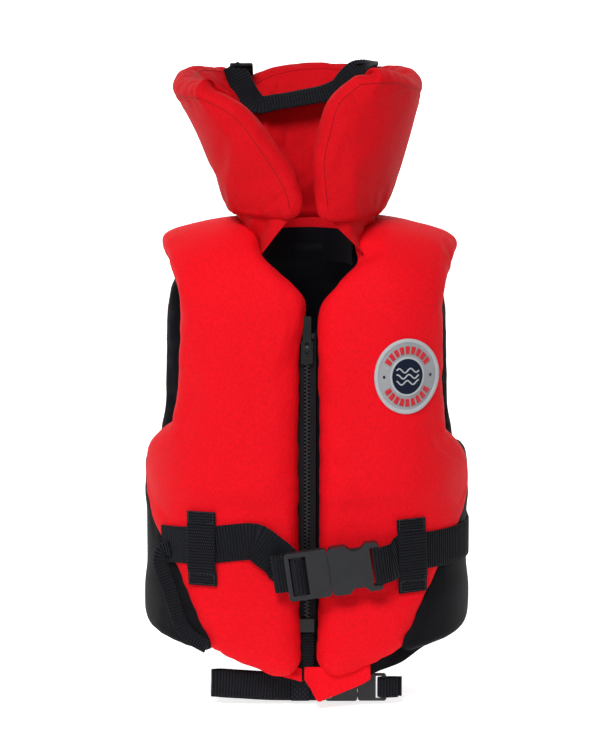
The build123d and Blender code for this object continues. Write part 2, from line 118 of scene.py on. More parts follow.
def torso(s, t, back=False):
    """Outer surface at arc length s and height t; past SPRING t runs over the shoulder."""
    x, y = outline(s)
    theta = np.clip((t - SPRING) / ARCH_RATE, 0, pi)
    rise = 0.084 - 0.014 * ((np.abs(x) - 0.050) / 0.088) ** 2
    y = y * np.cos(theta)
    return np.stack([x, -y if back else y, np.minimum(t, SPRING) + rise * np.sin(theta)], -1)


def unit(v):
    return v / np.maximum(np.linalg.norm(v, axis=-1, keepdims=True), 1e-12)


def edge_spread(count, pull=0.10):
    """Values from 0 to 1, closer together near both ends."""
    u = np.linspace(0, 1, count)
    return u - pull * np.sin(2 * pi * u)


def link_mesh(name, verts, faces, uvs=None, materials=(), face_material=None):
    mesh = bpy.data.meshes.new(name)
    mesh.from_pydata([tuple(v) for v in verts], [], faces)
    for m in materials:
        mesh.materials.append(m)
    if face_material is not None:
        mesh.polygons.foreach_set("material_index", face_material)
    if uvs is not None:
        layer = mesh.uv_layers.new(name="uv")
        layer.data.foreach_set("uv", np.array(uvs, float).ravel())
    mesh.polygons.foreach_set("use_smooth", [True] * len(mesh.polygons))
    mesh.update()
    obj = bpy.data.objects.new(name, mesh)
    bpy.context.scene.collection.objects.link(obj)
    return obj


def grid_faces(index, flip=False):
    """Faces over a grid of vertex numbers."""
    a, b, c, d = index[:-1, :-1], index[:-1, 1:], index[1:, 1:], index[1:, :-1]
    return np.stack((a, d, c, b) if flip else (a, b, c, d), -1).reshape(-1, 4)


def band(low, high):
    """Faces between two closed rings of vertex numbers, or the same for their UVs."""
    return np.stack([high, np.roll(high, -1, 0), np.roll(low, -1, 0), low], 1)


def rim_of(index):
    """The border of a grid of vertex numbers, once round."""
    return np.concatenate([index[0, :-1], index[:-1, -1], index[-1, :0:-1], index[:0:-1, 0]])


def settle(obj, body, slot, *nodes):
    """The body that a piece rides on and the CAD nodes that it stands for; the finish (slot) is not
    used.
    """
    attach(obj, body)
    if nodes:
        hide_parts(*nodes)


def coords(obj):
    co = np.empty(len(obj.data.vertices) * 3)
    obj.data.vertices.foreach_get("co", co)
    return co.reshape(-1, 3)


def set_coords(obj, co):
    obj.data.vertices.foreach_set("co", np.asarray(co, float).ravel())
    obj.data.update()


def normals(obj):
    n = np.empty(len(obj.data.vertices) * 3)
    obj.data.vertices.foreach_get("normal", n)
    return n.reshape(-1, 3)


# ---- materials ----
def principled(name, color, roughness, **sockets):
    material = bpy.data.materials.new(name)
    material.use_nodes = True
    shader = material.node_tree.nodes["Principled BSDF"]
    shader.inputs["Base Color"].default_value = (*color, 1)
    shader.inputs["Roughness"].default_value = roughness
    for key, value in sockets.items():
        socket = shader.inputs[key.replace("_", " ")]
        socket.default_value = (*value, 1) if isinstance(value, tuple) else value
    return material, material.node_tree.nodes, material.node_tree.links, shader


def add_node(nodes, kind, **settings):
    node = nodes.new(kind)
    for key, value in settings.items():
        if key in node.inputs:
            node.inputs[key].default_value = value
        else:
            setattr(node, key, value)
    return node


def math_node(nodes, links, operation, a, b=None):
    node = nodes.new("ShaderNodeMath")
    node.operation = operation
    for i, v in enumerate((a, b)):
        if v is None:
            continue
        if isinstance(v, (int, float)):
            node.inputs[i].default_value = v
        else:
            links.new(v, node.inputs[i])
    return node.outputs[0]


def color_between(nodes, links, factor, color, low, high, shader):
    """Base colour that runs from low to high times a colour."""
    ramp = nodes.new("ShaderNodeValToRGB")
    for element, share in zip(ramp.color_ramp.elements, (low, high)):
        element.color = (*[min(1.0, c * share) for c in color], 1)
    links.new(factor, ramp.inputs[0])
    links.new(ramp.outputs[0], shader.inputs["Base Color"])


def weave_height(nodes, links, coordinate, pitch_u, pitch_v):
    """Plain weave: warp and weft humps that take turns on top."""
    split = nodes.new("ShaderNodeSeparateXYZ")
    links.new(coordinate, split.inputs[0])
    wave = []
    for axis, pitch in ((0, pitch_u), (1, pitch_v)):
        phase = math_node(nodes, links, "MULTIPLY", split.outputs[axis], pi / pitch)
        wave.append(math_node(nodes, links, "SINE", phase))
    checker = math_node(nodes, links, "MULTIPLY", wave[0], wave[1])
    ridges = [math_node(nodes, links, "ABSOLUTE", w) for w in wave]
    return math_node(nodes, links, "ADD", math_node(nodes, links, "MULTIPLY", checker, 0.5),
                     math_node(nodes, links, "MULTIPLY", ridges[0], ridges[1]))


def cloth_material(name, color, roughness, pitch, sheen, bump=0.25, vary=0.10, tint=(1, 1, 1),
                   flat_front=False, weave=0.10, span=(0.82, 1.14), fleck=0.0, cross=None):
    """Coated woven nylon: weave relief, slubs, slow colour drift and a soft sheen; the weave relief
    also darkens the base colour in its low points, painted shade.
    """
    material, nodes, links, shader = principled(
        name, color, roughness, Sheen_Weight=sheen, Sheen_Roughness=0.45, Sheen_Tint=tint,
        Specular_IOR_Level=0.08)
    place = nodes.new("ShaderNodeTexCoord").outputs["Object"]
    if flat_front:
        turned = add_node(nodes, "ShaderNodeMapping", Rotation=(pi / 2, 0, 0))
        links.new(place, turned.inputs["Vector"])
        uv = turned.outputs[0]
    else:
        uv = add_node(nodes, "ShaderNodeUVMap", uv_map="uv").outputs[0]
    height = weave_height(nodes, links, uv, pitch, cross or pitch)
    slub = add_node(nodes, "ShaderNodeTexNoise", Scale=900.0, Detail=2.0)
    links.new(place, slub.inputs["Vector"])
    drift = add_node(nodes, "ShaderNodeTexNoise", Scale=9.0, Detail=4.0)
    links.new(place, drift.inputs["Vector"])
    total = math_node(nodes, links, "ADD", height, slub.outputs["Fac"])
    relief = add_node(nodes, "ShaderNodeBump", Strength=bump, Distance=0.0003)
    links.new(total, relief.inputs["Height"])
    links.new(relief.outputs[0], shader.inputs["Normal"])
    # Base colour: the weave term is painted shade, darker in the weave's low points and lighter on its
    # crowns; drift and fleck are random tone of the cloth.
    shade = math_node(nodes, links, "ADD", math_node(nodes, links, "MULTIPLY", height, weave),
                      math_node(nodes, links, "MULTIPLY", drift.outputs["Fac"], vary))
    if fleck:
        fine = add_node(nodes, "ShaderNodeTexNoise", Scale=420.0, Detail=1.0)
        links.new(place, fine.inputs["Vector"])
        shade = math_node(nodes, links, "ADD", shade,
                          math_node(nodes, links, "MULTIPLY", fine.outputs["Fac"], fleck))
    factor = math_node(nodes, links, "ADD", shade, 0.5 - (vary + fleck) / 2 - 0.4 * weave)
    color_between(nodes, links, factor, color, *span, shader)
    return material


def plastic_material(name, color, roughness, grain=700.0, metal=0.0, bump=0.12):
    material, nodes, links, shader = principled(name, color, roughness, Metallic=metal,
                                                 Specular_IOR_Level=0.32)
    place = nodes.new("ShaderNodeTexCoord").outputs["Object"]
    fine = add_node(nodes, "ShaderNodeTexNoise", Scale=grain, Detail=3.0)
    links.new(place, fine.inputs["Vector"])
    wear = add_node(nodes, "ShaderNodeTexNoise", Scale=60.0, Detail=5.0)
    links.new(place, wear.inputs["Vector"])
    relief = add_node(nodes, "ShaderNodeBump", Strength=bump, Distance=0.0002)
    links.new(fine.outputs["Fac"], relief.inputs["Height"])
    links.new(relief.outputs[0], shader.inputs["Normal"])
    rough = math_node(nodes, links, "ADD", roughness - 0.08,
                      math_node(nodes, links, "MULTIPLY", wear.outputs["Fac"], 0.16))
    links.new(rough, shader.inputs["Roughness"])
    color_between(nodes, links, wear.outputs["Fac"], color, 0.75, 1.3, shader)
    return material


RED = cloth_material("red_cloth", (0.80, 0.0035, 0.0110), 0.66, 0.00075, 0.02, 0.55, 0.16,
                     tint=(1, 0.3, 0.3), weave=0.30, fleck=1.0)
# Collar red is painted shade: the red cloth made darker for the collar's wings, pillow and neck
# gussets, standing in for the shade on their downward-facing faces.
COLLAR_SHADED_RED = cloth_material("collar_red_painted_shade_cloth", (0.60, 0.0026, 0.0080), 0.66, 0.00075, 0.02, 0.55,
                            0.16, tint=(1, 0.3, 0.3), weave=0.30, fleck=1.0)
BLACK = cloth_material("black_cloth", (0.0045, 0.0048, 0.0065), 0.70, 0.00070, 0.0, vary=0.3,
                       weave=0.30)
LINING = cloth_material("lining_cloth", (0.0025, 0.0025, 0.0050), 0.65, 0.0005, 0.03, vary=0.3)
# The webbing's strong weave term paints its ribs light on the crowns and dark in the hollows: painted
# shade.
STRAP = cloth_material("strap_webbing", (0.0042, 0.0046, 0.0064), 0.58, 0.0030, 0.05, 0.9, 0.3,
                       weave=1.60, span=(0.02, 4.4), cross=0.0011)
TAPE = cloth_material("zip_tape_cloth", (0.010, 0.010, 0.012), 0.7, 0.0008, 0.08, 0.4,
                      flat_front=True)
# The weave term paints this webbing's ribs light and dark as well: painted shade.
PLAIN_STRAP = cloth_material("plain_webbing", (0.0042, 0.0046, 0.0064), 0.55, 0.0028, 0.08, 0.9,
                             flat_front=True, weave=0.90, span=(0.10, 4.0))
GREY_TWILL = cloth_material("patch_grey_twill", (0.33, 0.34, 0.36), 0.7, 0.0012, 0.05, 0.5,
                            weave=0.5, span=(0.6, 1.3))
NAVY_TWILL = cloth_material("patch_navy_twill", (0.006, 0.010, 0.028), 0.7, 0.0009, 0.1, 0.5)
THREAD_RED = cloth_material("thread_red", (0.55, 0.02, 0.03), 0.5, 0.0006, 0.3)
# Seam red is painted shadow: dark red for the piped seams, standing in for the shadow in the seam
# grooves.
SEAM_SHADOW_RED = cloth_material("seam_painted_shadow_red", (0.30, 0.003, 0.006), 0.6, 0.0006, 0.05)
THREAD_PALE = cloth_material("thread_pale", (0.42, 0.44, 0.46), 0.6, 0.0006, 0.05)
THREAD_BLACK = cloth_material("thread_black", (0.012, 0.012, 0.014), 0.5, 0.0006, 0.3)
BUCKLE = plastic_material("buckle_acetal", (0.015, 0.016, 0.019), 0.40)
ZIP_PLASTIC = plastic_material("zip_teeth_acetal", (0.014, 0.014, 0.016), 0.34)
ENAMEL = plastic_material("slider_enamel", (0.007, 0.007, 0.008), 0.26, metal=0.2)
FOAM = plastic_material("foam_core", (0.55, 0.55, 0.52), 0.9, 300.0)
SLOT_MATERIALS = {
    "red_nylon": RED, "black_nylon": BLACK, "lining": TAPE, "foam": FOAM, "webbing": PLAIN_STRAP,
    "zip_tape": TAPE, "zip_plastic": ZIP_PLASTIC, "zip_metal": ENAMEL,
    "buckle_plastic": BUCKLE, "patch_twill": GREY_TWILL, "patch_navy": NAVY_TWILL}


# ---- pads ----
ROUND_STEPS = 10
ROUND_PROFILE = [(sin(pi * k / ROUND_STEPS) ** 0.75, (1 - cos(pi * k / ROUND_STEPS)) / 2)
                 for k in range(1, ROUND_STEPS)]
BOXED_PROFILE = [(0.35, 0.04), (0.62, 0.14), (0.85, 0.30), (0.93, 0.50), (0.85, 0.70),
                 (0.62, 0.86), (0.35, 0.96)]
EDGE_PROFILE = [(0.8, 0.2), (1.0, 0.5), (0.8, 0.8)]
seam_loops = {}


def pad_mesh(name, grid, uv, thick, reach, profile, seam_rings, inner_from, outer, inner):
    """Closed pad from a grid of its outer face. du x dv points out of the pad.

    The rim follows the profile: (share of reach outwards, share of the thickness inwards).
    """
    rows, cols, _ = grid.shape
    thick = np.broadcast_to(thick, (rows, cols))
    n = unit(np.cross(np.gradient(grid, axis=1), np.gradient(grid, axis=0)))
    index = np.arange(rows * cols).reshape(rows, cols)
    loop = rim_of(index)
    p, nn, tt = grid.reshape(-1, 3)[loop], n.reshape(-1, 3)[loop], thick.reshape(-1)[loop]
    uv_flat = uv.reshape(-1, 2)
    tangent = unit(np.roll(p, -2, 0) + np.roll(p, -1, 0) - np.roll(p, 1, 0) - np.roll(p, 2, 0))
    out = unit(np.cross(tangent, nn))
    uv_t = np.roll(uv_flat[loop], -1, 0) - np.roll(uv_flat[loop], 1, 0)
    uv_t = uv_t / np.maximum(np.linalg.norm(uv_t, axis=1, keepdims=True), 1e-9)
    uv_out = np.stack([uv_t[:, 1], -uv_t[:, 0]], -1)
    rings, ring_uv, travelled, last = [], [], np.zeros(len(loop)), p
    for o, d in profile:
        ring = p + out * (reach * o) - nn * (tt * d)[:, None]
        travelled = travelled + np.linalg.norm(ring - last, axis=1)
        last = ring
        rings.append(ring)
        ring_uv.append(uv_flat[loop] + uv_out * travelled[:, None])
    inside = (grid - n * thick[..., None]).reshape(-1, 3)
    travelled = travelled + np.linalg.norm(inside[loop] - last, axis=1)
    ring_uv.append(uv_flat[loop] + uv_out * travelled[:, None])
    verts = np.concatenate([grid.reshape(-1, 3), *rings, inside])
    base, count = rows * cols, len(loop)
    inner_base = base + count * len(profile)
    levels = [loop] + [base + k * count + np.arange(count) for k in range(len(profile))]
    levels.append(inner_base + loop)
    level_uv = [uv_flat[loop]] + ring_uv
    front, rear = grid_faces(index), grid_faces(index, flip=True)
    bands = [band(*pair) for pair in zip(levels, levels[1:])]
    faces = np.concatenate([front, *bands, inner_base + rear]).tolist()
    uvs = np.concatenate([uv_flat[front], *[band(*pair) for pair in zip(level_uv, level_uv[1:])],
                          uv_flat[rear]])
    sides = [0] + [int(k >= inner_from) for k in range(len(bands))] + [1]
    mats = np.repeat(sides, [len(front)] + [count] * len(bands) + [len(rear)]).tolist()
    obj = link_mesh(name, verts, faces, uvs, (outer, inner), mats)
    seam_loops[name] = [levels[k].tolist() for k in seam_rings]
    obj.vertex_groups.new(name="seam").add(sum(seam_loops[name], []), 1.0, "REPLACE")
    return obj


def gather(obj, amount, reach, pitch, seed):
    """Small puckers that run out from the seams."""
    co, n = coords(obj), normals(obj)
    group = obj.vertex_groups["seam"].index
    seam = np.array([v.index for v in obj.data.vertices if any(g.group == group for g in v.groups)])
    order = co[seam]
    distance = np.empty(len(co))
    nearest = np.empty(len(co), int)
    for a in range(0, len(co), 2000):
        gap = np.linalg.norm(co[a:a + 2000, None] - order[None], axis=2)
        nearest[a:a + 2000], distance[a:a + 2000] = gap.argmin(1), gap.min(1)
    wave = np.array([noise.noise(Vector(order[k]) / pitch + Vector((seed * 7.3, 0, 0)))
                     for k in range(len(order))])
    swell = (distance / reach) * np.exp(1 - distance / reach)
    set_coords(obj, co + n * (amount * wave[nearest] * swell)[:, None])


soft_jobs = []


def inflate_later(obj, cap, pressure, shrink, limit=None):
    soft_jobs.append((obj, cap, pressure, shrink, limit))


def run_cloth():
    """One shared cloth run: pressure, no gravity, seams held; then the result is applied."""
    scene = bpy.context.scene
    start = {job[0].name: coords(job[0]) for job in soft_jobs}
    for obj, cap, pressure, shrink, limit in soft_jobs:
        cloth = obj.modifiers.new("Cloth", "CLOTH")
        c = cloth.settings
        c.quality, c.mass = 5, 0.3
        c.tension_stiffness = c.compression_stiffness = 12
        c.shear_stiffness, c.bending_stiffness = 4, 0.3
        c.use_pressure, c.uniform_pressure_force = True, pressure
        c.effector_weights.gravity = 0
        c.vertex_group_mass = "seam"
        c.shrink_min = shrink
        cloth.point_cache.frame_start, cloth.point_cache.frame_end = 1, 20
    for f in range(1, 21):
        scene.frame_set(f)
    graph = bpy.context.evaluated_depsgraph_get()
    done = {}
    for obj, *_ in soft_jobs:
        mesh = obj.evaluated_get(graph).data
        co = np.empty(len(mesh.vertices) * 3)
        mesh.vertices.foreach_get("co", co)
        done[obj.name] = co.reshape(-1, 3)
    scene.frame_set(1)
    for obj, cap, pressure, shrink, limit in soft_jobs:
        co = start[obj.name]
        obj.modifiers.clear()
        move = done[obj.name] - co
        size = np.linalg.norm(move, axis=1, keepdims=True)
        co = co + move * (cap * np.tanh(size / cap) / np.maximum(size, 1e-9))
        set_coords(obj, limit(co) if limit else co)


def subdivide(obj):
    mod = obj.modifiers.new("Subdivision", "SUBSURF")
    mod.levels = mod.render_levels = 1
    mod.uv_smooth = "PRESERVE_BOUNDARIES"
    graph = bpy.context.evaluated_depsgraph_get()
    mesh = bpy.data.meshes.new_from_object(obj.evaluated_get(graph), depsgraph=graph,
                                           preserve_all_data_layers=True)
    obj.modifiers.clear()
    old = obj.data
    obj.data = mesh
    bpy.data.meshes.remove(old)
    mesh.polygons.foreach_set("use_smooth", [True] * len(mesh.polygons))


def plan_excess(co):
    """How far points stand outside the torso's plan outline, and the way out."""
    x, y = co[:, 0], co[:, 1]
    cx, cy = np.clip(x, -FLAT, FLAT), np.clip(y, -SIDE, SIDE)
    dx, dy = x - cx, y - cy
    r = np.hypot(dx, dy)
    return r - PLAN_RADIUS, np.stack([dx, dy], -1) / np.maximum(r, 1e-9)[:, None]


def belt_limit(low, high, room=0.0075):
    """Under the belt the covers stay flat; elsewhere they may swell a little."""
    def limit(co):
        excess, way = plan_excess(co)
        z = co[:, 2]
        gap = np.maximum(np.maximum(low - z, z - high), 0)
        allowed = -0.0006 + (room + 0.0006) * (1 - np.exp(-(gap / 0.018) ** 2))
        over = np.maximum(excess - allowed, 0)
        over[z > SPRING] = 0
        co = co.copy()
        co[:, :2] -= way * over[:, None]
        return co
    return limit


def panel(side, inner_s, outer_s, low, high, rows, cols, back=False, flip=False):
    """Grid over the torso between two edge curves; low and high are (inner, outer) heights."""
    v, u = edge_spread(rows, 0.05)[:, None], edge_spread(cols)[None, :]
    t_in, t_out = low[0] + v * (high[0] - low[0]), low[1] + v * (high[1] - low[1])
    s = inner_s(t_in) * (1 - u) + outer_s(t_out) * u
    t = t_in * (1 - u) + t_out * u
    grid, uv = torso(side * s, t, back), np.stack([side * s, t], -1)
    if flip:
        grid, uv = grid[:, ::-1], uv[:, ::-1]
    return grid, uv


# Front pads: from the hem over the shoulder to the seam behind it.
FRONT_ROUND = 0.019
NECK = [(0.486, 0.049), (0.5396, 0.0555), (0.5928, 0.055), (SHOULDER_END, 0.053)]
ZIP_EDGE = {-1: 0.0052, 1: 0.0095}
V_EDGE = {-1: [(0.338, 0.0050), (0.358, 0.0020), (0.372, 0.0000), (0.388, 0.0010),
               (0.3995, 0.0085), (0.420, 0.0230), (0.440, 0.0365), (0.456, 0.0430)],
          1: [(0.345, 0.0095), (0.360, 0.0095), (0.373, 0.0110), (0.393, 0.0205),
              (0.411, 0.0315), (0.423, 0.0390), (0.438, 0.0480), (0.456, 0.0520)]}
SIDE_CURVE = [(0.028, 0.090), (0.045, 0.103), (0.075, 0.118), (0.110, 0.136), (0.140, 0.1515),
              (0.165, 0.1640), (0.185, 0.1740)]
ARM_CURVE = {
    -1: [(0.206, 0.1770), (0.222, 0.1690), (0.237, 0.158), (0.266, 0.144), (0.296, 0.137),
         (0.337, 0.134), (0.378, 0.133), (0.430, 0.136), (0.480, 0.142), (0.520, 0.1465),
         (SHOULDER_END, 0.142)],
    1: [(0.206, 0.1760), (0.222, 0.1660), (0.237, 0.156), (0.262, 0.1485), (0.296, 0.1440),
        (0.337, 0.1430), (0.378, 0.1425), (0.430, 0.144), (0.480, 0.148), (0.520, 0.1510),
        (SHOULDER_END, 0.144)]}
OUTER_S = {side: [(t, float(arc_at(np.array(x))) + max(0.0, x - HALF_WIDTH))
                  for t, x in SIDE_CURVE + ARM_CURVE[side]] for side in (-1, 1)}


def square_corner(obj, corner_x, corner_z):
    """Fill out the rounded corner where the hem meets the zip."""
    co = coords(obj)
    dx, dz = corner_x - np.abs(co[:, 0]), corner_z - co[:, 2]
    near = (dx > 0) & (dz > 0)
    grow = (np.hypot(dx, dz) / np.maximum(np.maximum(dx, dz), 1e-9)) ** 0.85
    co[near, 0] = np.sign(co[near, 0]) * (corner_x - dx[near] * grow[near])
    co[near, 2] = corner_z - dz[near] * grow[near]
    set_coords(obj, co)


def front_pad(side):
    v_keys = [(0.0, ZIP_EDGE[side]), (0.300, ZIP_EDGE[side])] + V_EDGE[side] + NECK

    def inner(t):
        return smooth(v_keys, t) + FRONT_ROUND

    def outer(t):
        return smooth(OUTER_S[side], t) - FRONT_ROUND * 0.9

    low = (FRONT_ROUND, 0.028 + FRONT_ROUND)
    high = (SHOULDER_END - 0.012, SHOULDER_END - 0.012)
    grid, uv = panel(side, inner, outer, low, high, 92, 26, flip=side < 0)
    shoulder = np.clip((grid[..., 2] - SPRING) / 0.07, 0, 1)
    thick = 0.040 - 0.015 * shoulder
    obj = pad_mesh(f"{WORD[side]}_front_pad", grid, uv, thick, FRONT_ROUND,
                   ROUND_PROFILE, [7], 7, RED, LINING)
    square_corner(obj, ZIP_EDGE[side] + FRONT_ROUND, FRONT_ROUND)
    gather(obj, 0.0013, 0.018, 0.008, 3 + side)
    inflate_later(obj, 0.0045, 3.0, -0.02, belt_limit(*BELT_FLAT))
    return obj


# Back pad: hem to shoulder seams, across the whole back.
BACK_OUTER = [(0.034, 0.1977), (0.210, 0.1977), (0.232, 0.190), (0.255, 0.180), (0.300, 0.176),
              (0.380, 0.168), (0.420, 0.152), (BACK_SHOULDER, float(arc_at(np.array(0.139))))]
BACK_ROUND = 0.015


def back_pad():
    rows, cols = 72, 61
    v = edge_spread(rows, 0.05)[:, None]
    u = edge_spread(cols, 0.06)[None, :] * 2 - 1
    low = 0.034 + BACK_ROUND
    high = BACK_SHOULDER - 0.010 + 0.016 * np.exp(-(u * 2.6) ** 4)
    t = low + v * (high - low)
    half = smooth(BACK_OUTER, low + v * (BACK_SHOULDER - low)) - BACK_ROUND * 0.9
    s = -u * half
    grid, uv = torso(s, t, back=True), np.stack([-s, t], -1)
    shoulder = np.clip((grid[..., 2] - SPRING) / 0.07, 0, 1)
    thick = 0.034 - 0.009 * shoulder
    obj = pad_mesh("back_pad", grid, uv, thick, BACK_ROUND, ROUND_PROFILE, [3], 3, RED, LINING)
    gather(obj, 0.0014, 0.018, 0.009, 11)
    inflate_later(obj, 0.005, 3.0, -0.02, belt_limit(*BELT_FLAT))
    return obj


# Black side inserts, from the front's curved seam to the side seam.
SIDE_ROUND = 0.010


def side_insert(side):
    def inner(t):
        return smooth(OUTER_S[side], t) + SIDE_ROUND * 0.55

    def outer(t):
        return SIDE_SEAM - SIDE_ROUND * 0.6 + 0 * t

    grid, uv = panel(side, inner, outer, (0.028 + SIDE_ROUND, 0.050 + SIDE_ROUND),
                     (0.216 - SIDE_ROUND, 0.226 - SIDE_ROUND), 34, 28, flip=side < 0)
    obj = pad_mesh(f"{WORD[side]}_side_pad", grid, uv, 0.022, SIDE_ROUND,
                   ROUND_PROFILE, [4], 6, BLACK, LINING)
    gather(obj, 0.0010, 0.016, 0.012, 21 + side)
    inflate_later(obj, 0.003, 2.0, -0.01, belt_limit(*BELT_FLAT_SIDE, 0.0025))
    return obj


front_pads = {side: front_pad(side) for side in (-1, 1)}
back = back_pad()
side_pads = {side: side_insert(side) for side in (-1, 1)}


# ---- collar ----
def funnel(angle, z, ridge=None, flare=0.0, rim_half=0.128):
    """Point on the collar's outer face at a plan angle in degrees and a height."""
    up = (z - COLLAR_LOW) / (COLLAR_RIM - COLLAR_LOW)
    a = np.radians(angle)
    across = 0.075 + up * (rim_half - 0.075) + flare * np.clip(up, 0, 1.1) ** 3
    along = np.where(np.sin(a) < 0, 0.104 - 0.004 * up, 0.086 + 0.038 * up)
    r = 1 / np.hypot(np.cos(a) / across, np.sin(a) / along)
    if ridge is not None:
        place = smooth(ridge, z)
        r = r * (1 + 0.085 * np.exp(-np.abs(angle - place) / 12.0)
                 - 0.020 * np.exp(-((angle - place - 24) / 12.0) ** 2))
    return np.stack([r * np.cos(a), r * np.sin(a), np.broadcast_to(z, r.shape)], -1)


WING_SHAPES = {
    -1: {"front": [(0.000, 0.4800, 260.5), (0.16, 0.498, 257.5), (0.36, 0.519, 250.0),
                   (0.58, 0.545, 240.0), (0.76, 0.567, 231.0), (1.0, 0.592, 213.0)],
         "ridge": [(0.470, 214.0), (0.500, 218.0), (0.545, 226.0), (0.566, 220.0),
                   (0.600, 208.0)],
         "flare": 0.020, "top": 0.600, "dip": 0.009},
    1: {"front": [(0.000, 0.477, 258.0), (0.20, 0.502, 259.5), (0.40, 0.527, 260.5),
                  (0.62, 0.556, 257.0), (0.82, 0.584, 252.0), (1.0, 0.603, 240.0)],
        "ridge": [(0.470, 240.0), (0.530, 245.0), (0.564, 243.0), (0.588, 237.0),
                  (0.610, 228.0)],
        "flare": -0.006, "top": 0.604, "dip": 0.015}}
WING_BACK, WING_LOW, WING_REACH = 130.5, 0.479, 0.012
WING_ROWS, WING_COLS = 26, 46


def wing(side):
    shape = WING_SHAPES[side]
    v = edge_spread(WING_ROWS, 0.06)[:, None]
    u = edge_spread(WING_COLS, 0.06)[None, :]
    z_front = smooth([(k[0], k[1]) for k in shape["front"]], v)
    a_front = smooth([(k[0], k[2]) for k in shape["front"]], v)
    z_back = WING_LOW + v * (shape["top"] - WING_LOW)
    angle = WING_BACK + u * (a_front - WING_BACK)
    z = z_back * (1 - u) + z_front * u + 0.006 * np.sin(pi * u) * v
    z = z - shape["dip"] * np.exp(-((angle - 190) / 24) ** 2) * v**3
    grid = funnel(angle, z, shape["ridge"], shape["flare"])
    uv = np.stack([np.radians(angle) * 0.115 + 0 * z, z * 1.1], -1)
    if side > 0:
        grid = grid[:, ::-1] * (-1, 1, 1)
        uv = uv[:, ::-1] * (-1, 1)
    edge = np.minimum(v, 1 - v) * 0.13
    thick = 0.014 + 0.013 * np.clip(v / 0.25, 0, 1) + 0.010 * (1 - np.exp(-edge / 0.02)) + 0 * u
    # The wing pads take the darker collar red, painted shade.
    obj = pad_mesh(f"{WORD[side]}_wing_pad", grid, uv, thick, WING_REACH,
                   BOXED_PROFILE, [0, 8], 9, COLLAR_SHADED_RED, COLLAR_SHADED_RED)
    gather(obj, 0.0022, 0.008, 0.010, 31 + side)
    inflate_later(obj, 0.0038, 2.5, -0.012)
    return obj


PILLOW_ROWS, PILLOW_COLS = 26, 30
PILLOW_TURN, PILLOW_LOW, PILLOW_TOP = (54.5, 125.5), 0.466, 0.604


def pillow():
    v = edge_spread(PILLOW_ROWS, 0.06)[:, None]
    u = edge_spread(PILLOW_COLS, 0.06)[None, :]
    angle = PILLOW_TURN[0] + u * (PILLOW_TURN[1] - PILLOW_TURN[0])
    z = PILLOW_LOW + v * (PILLOW_TOP - PILLOW_LOW + 0.006 * np.sin(pi * u) - 0.012 * u**3)
    grid = funnel(angle, z)
    uv = np.stack([np.radians(angle) * 0.115 + 0 * z, z * 1.1], -1)
    edge = np.minimum(v, 1 - v) * 0.13
    thick = 0.016 + 0.012 * np.clip(v / 0.25, 0, 1) + 0.013 * (1 - np.exp(-edge / 0.02)) + 0 * u
    # The pillow takes the darker collar red, painted shade.
    obj = pad_mesh("collar_pillow_pad", grid, uv, thick, 0.011, BOXED_PROFILE, [0, 8], 9,
                   COLLAR_SHADED_RED, COLLAR_SHADED_RED)
    gather(obj, 0.0018, 0.010, 0.012, 41)
    inflate_later(obj, 0.0045, 2.5, -0.015)
    return obj


wings = {side: wing(side) for side in (-1, 1)}
pillow_pad = pillow()

run_cloth()
for obj in (*front_pads.values(), back, *side_pads.values(), *wings.values(), pillow_pad):
    subdivide(obj)

for side, word in WORD.items():
    settle(front_pads[side], "torso", "red_nylon", f"{word}_front_cover",
           f"{word}_front_foam_outer", f"{word}_front_foam_inner", f"{word}_front_lining",
           f"{word}_shoulder_yoke")
    settle(side_pads[side], "torso", "black_nylon", f"{word}_side_insert")
    settle(wings[side], f"collar_{word}_wing", "red_nylon", f"{word}_wing_foam",
           f"{word}_wing_cover")
settle(back, "torso", "red_nylon", "back_cover", "back_foam_outer", "back_foam_inner",
       "back_lining")
settle(pillow_pad, "collar_pillow", "red_nylon", "collar_pillow_foam", "collar_pillow_cover")


# ---- placing things on the covers ----
def tree_of(obj):
    return BVHTree.FromPolygons([v.co[:] for v in obj.data.vertices],
                                [p.vertices[:] for p in obj.data.polygons])


torso_trees = [tree_of(o) for o in (*front_pads.values(), *side_pads.values(), back)]


def lift_at(x, y, z, way):
    """How far the covers stand outside the plan outline, looking in along way."""
    origin = Vector((x, y, z)) + Vector((*way, 0)) * 0.05
    hits = [tree.ray_cast(origin, Vector((-way[0], -way[1], 0)), 0.075) for tree in torso_trees]
    reach = [0.05 - h[3] for h in hits if h[0] is not None]
    return max(reach) if reach else -0.01


def around(s, z, off, window=9):
    """Points that lie off the covers, for arrays of arc length and height."""
    x, y = outline(s)
    ahead = np.stack(outline(s + 0.001), -1) - np.stack(outline(s - 0.001), -1)
    way = unit(np.stack([ahead[:, 1], -ahead[:, 0]], -1))
    lift = np.array([lift_at(a, b, c, w) for a, b, c, w in zip(x, y, z, way)])
    lift = np.maximum(lift, -0.004)
    padded = np.pad(lift, window, mode="edge")
    high = np.array([padded[i:i + 2 * window + 1].max() for i in range(len(lift))])
    padded = np.pad(high, window, mode="edge")
    high = np.array([padded[i:i + 2 * window + 1].mean() for i in range(len(lift))])
    off = high + off
    return np.stack([x + way[:, 0] * off, y + way[:, 1] * off, z], -1), np.column_stack(
        [way, np.zeros(len(x))])


# ---- webbing ----
def resample(points, step, *others):
    points = np.array(points, float)
    length = np.r_[0, np.cumsum(np.linalg.norm(np.diff(points, axis=0), axis=1))]
    l = np.linspace(0, length[-1], max(8, int(length[-1] / step)))
    out = [np.stack([smooth(np.stack([length, np.array(a, float)[:, k]], -1), l)
                     for k in range(3)], -1) for a in (points, *others)]
    return l, *out


RIB_HEIGHT, RIBBON_STEP = 0.00040, 0.00055


